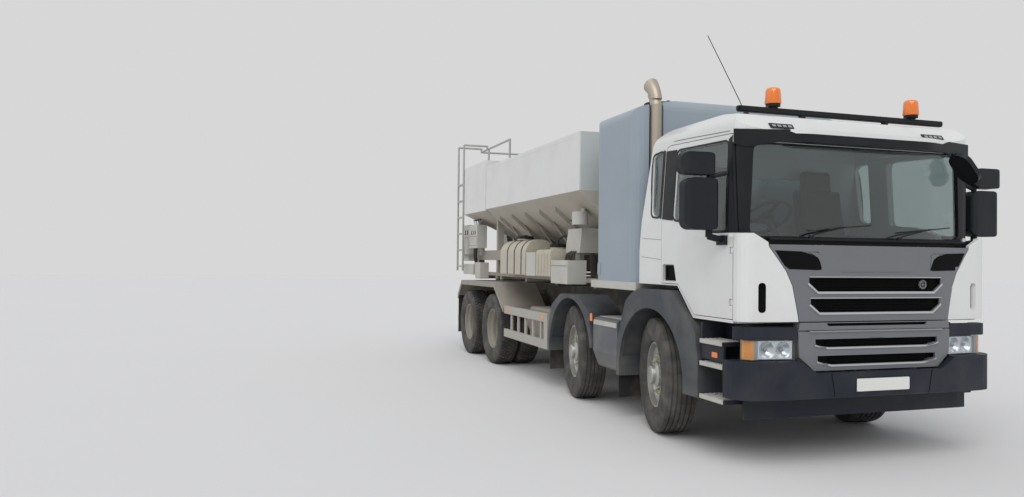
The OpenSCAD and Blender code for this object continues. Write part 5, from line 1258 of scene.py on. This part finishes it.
bars("hoses", hoses, 0.013, flap_black, 12)
print("hoses:", len(hoses))

# %% [markdown]
# The camera stands where the photograph was taken: beside the right front corner, at a
# grown-up's eye height, turned towards the truck's middle. Its place and angle were
# worked out from the wheels, the hubs and the lines of the cab, so the two pictures can
# be compared.

# %% Camera
EYE = at(6.560, -4.689, 1.566)
YAW, PITCH, ROLL = (math.radians(a) for a in (162.00, 0.822, 0.633))
FOCAL_PIXELS, PICTURE_WIDTH = 798.1, 1024
SENSOR_WIDTH = 36.0
ahead = Vector((math.cos(YAW) * math.cos(PITCH), math.sin(YAW) * math.cos(PITCH),
                math.sin(PITCH)))
across = ahead.cross(UPWARD).normalized()
upright = across.cross(ahead)
right = math.cos(ROLL) * across + math.sin(ROLL) * upright
top = -math.sin(ROLL) * across + math.cos(ROLL) * upright
lens = bpy.data.cameras.new("camera")
lens.sensor_fit = "HORIZONTAL"
lens.sensor_width = SENSOR_WIDTH
lens.lens = FOCAL_PIXELS / PICTURE_WIDTH * SENSOR_WIDTH
lens.clip_end = 200
camera = shown("camera", lens)
camera.matrix_world = Matrix((right, top, -ahead)).transposed().to_4x4()
camera.matrix_world.translation = EYE
bpy.context.scene.camera = camera

# %% [markdown]
# The light is that of a bright, cloudy day: an even pale sky and two very wide, soft
# suns, one above and in front that models the forms, and a weak one from the side. The
# floor is plain and pale. Straight rays, mirror rays and rays through glass all see the
# same pale background.

# %% Floor, sky and lamps
SKY_COLOUR, SKY_STRENGTH = (0.92, 0.96, 1.0, 1), 0.52
BACKGROUND = (0.68, 0.68, 0.68, 1)
FLOOR_HALF = 60
# Each sun: name, where it stands, how wide it is in degrees, and its strength.
SUNS = (("main lamp", (11, -5, 14), 50, 1.40), ("side lamp", (-3, -14, 12), 70, 0.30))
bpy.context.scene.view_settings.view_transform = "Standard"
world = bpy.data.worlds.new("sky")
bpy.context.scene.world = world
world.use_nodes = True
tree = world.node_tree
tree.nodes.clear()
sky = node(tree, "ShaderNodeBackground", {"Color": SKY_COLOUR, "Strength": SKY_STRENGTH})
seen = node(tree, "ShaderNodeBackground", {"Color": BACKGROUND})
path = node(tree, "ShaderNodeLightPath").outputs
either = reckon(tree, "MAXIMUM", path["Is Camera Ray"], path["Is Transmission Ray"])
either = reckon(tree, "MAXIMUM", either, path["Is Glossy Ray"])
mix = node(tree, "ShaderNodeMixShader", {"Fac": either, 1: sky.outputs[0], 2: seen.outputs[0]})
node(tree, "ShaderNodeOutputWorld", {0: mix.outputs[0]})

bm = bmesh.new()
bm.faces.new([bm.verts.new((x, y, 0)) for x, y in
              rectangle(-FLOOR_HALF, -FLOOR_HALF, FLOOR_HALF, FLOOR_HALF)])
floor = shown("floor", mesh_from(bm, "floor"))
floor.data.materials.append(finish("floor", (0.752, 0.738, 0.734), 0.9, 0.12, grain=0.35,
                                   dust_colour=(0.70, 0.688, 0.682)))
for name, place, spread, power in SUNS:
    lamp = bpy.data.lights.new(name, "SUN")
    lamp.angle = math.radians(spread)
    lamp.energy = power
    shown(name, lamp).rotation_euler = (-Vector(place)).to_track_quat("-Z", "Y").to_euler()
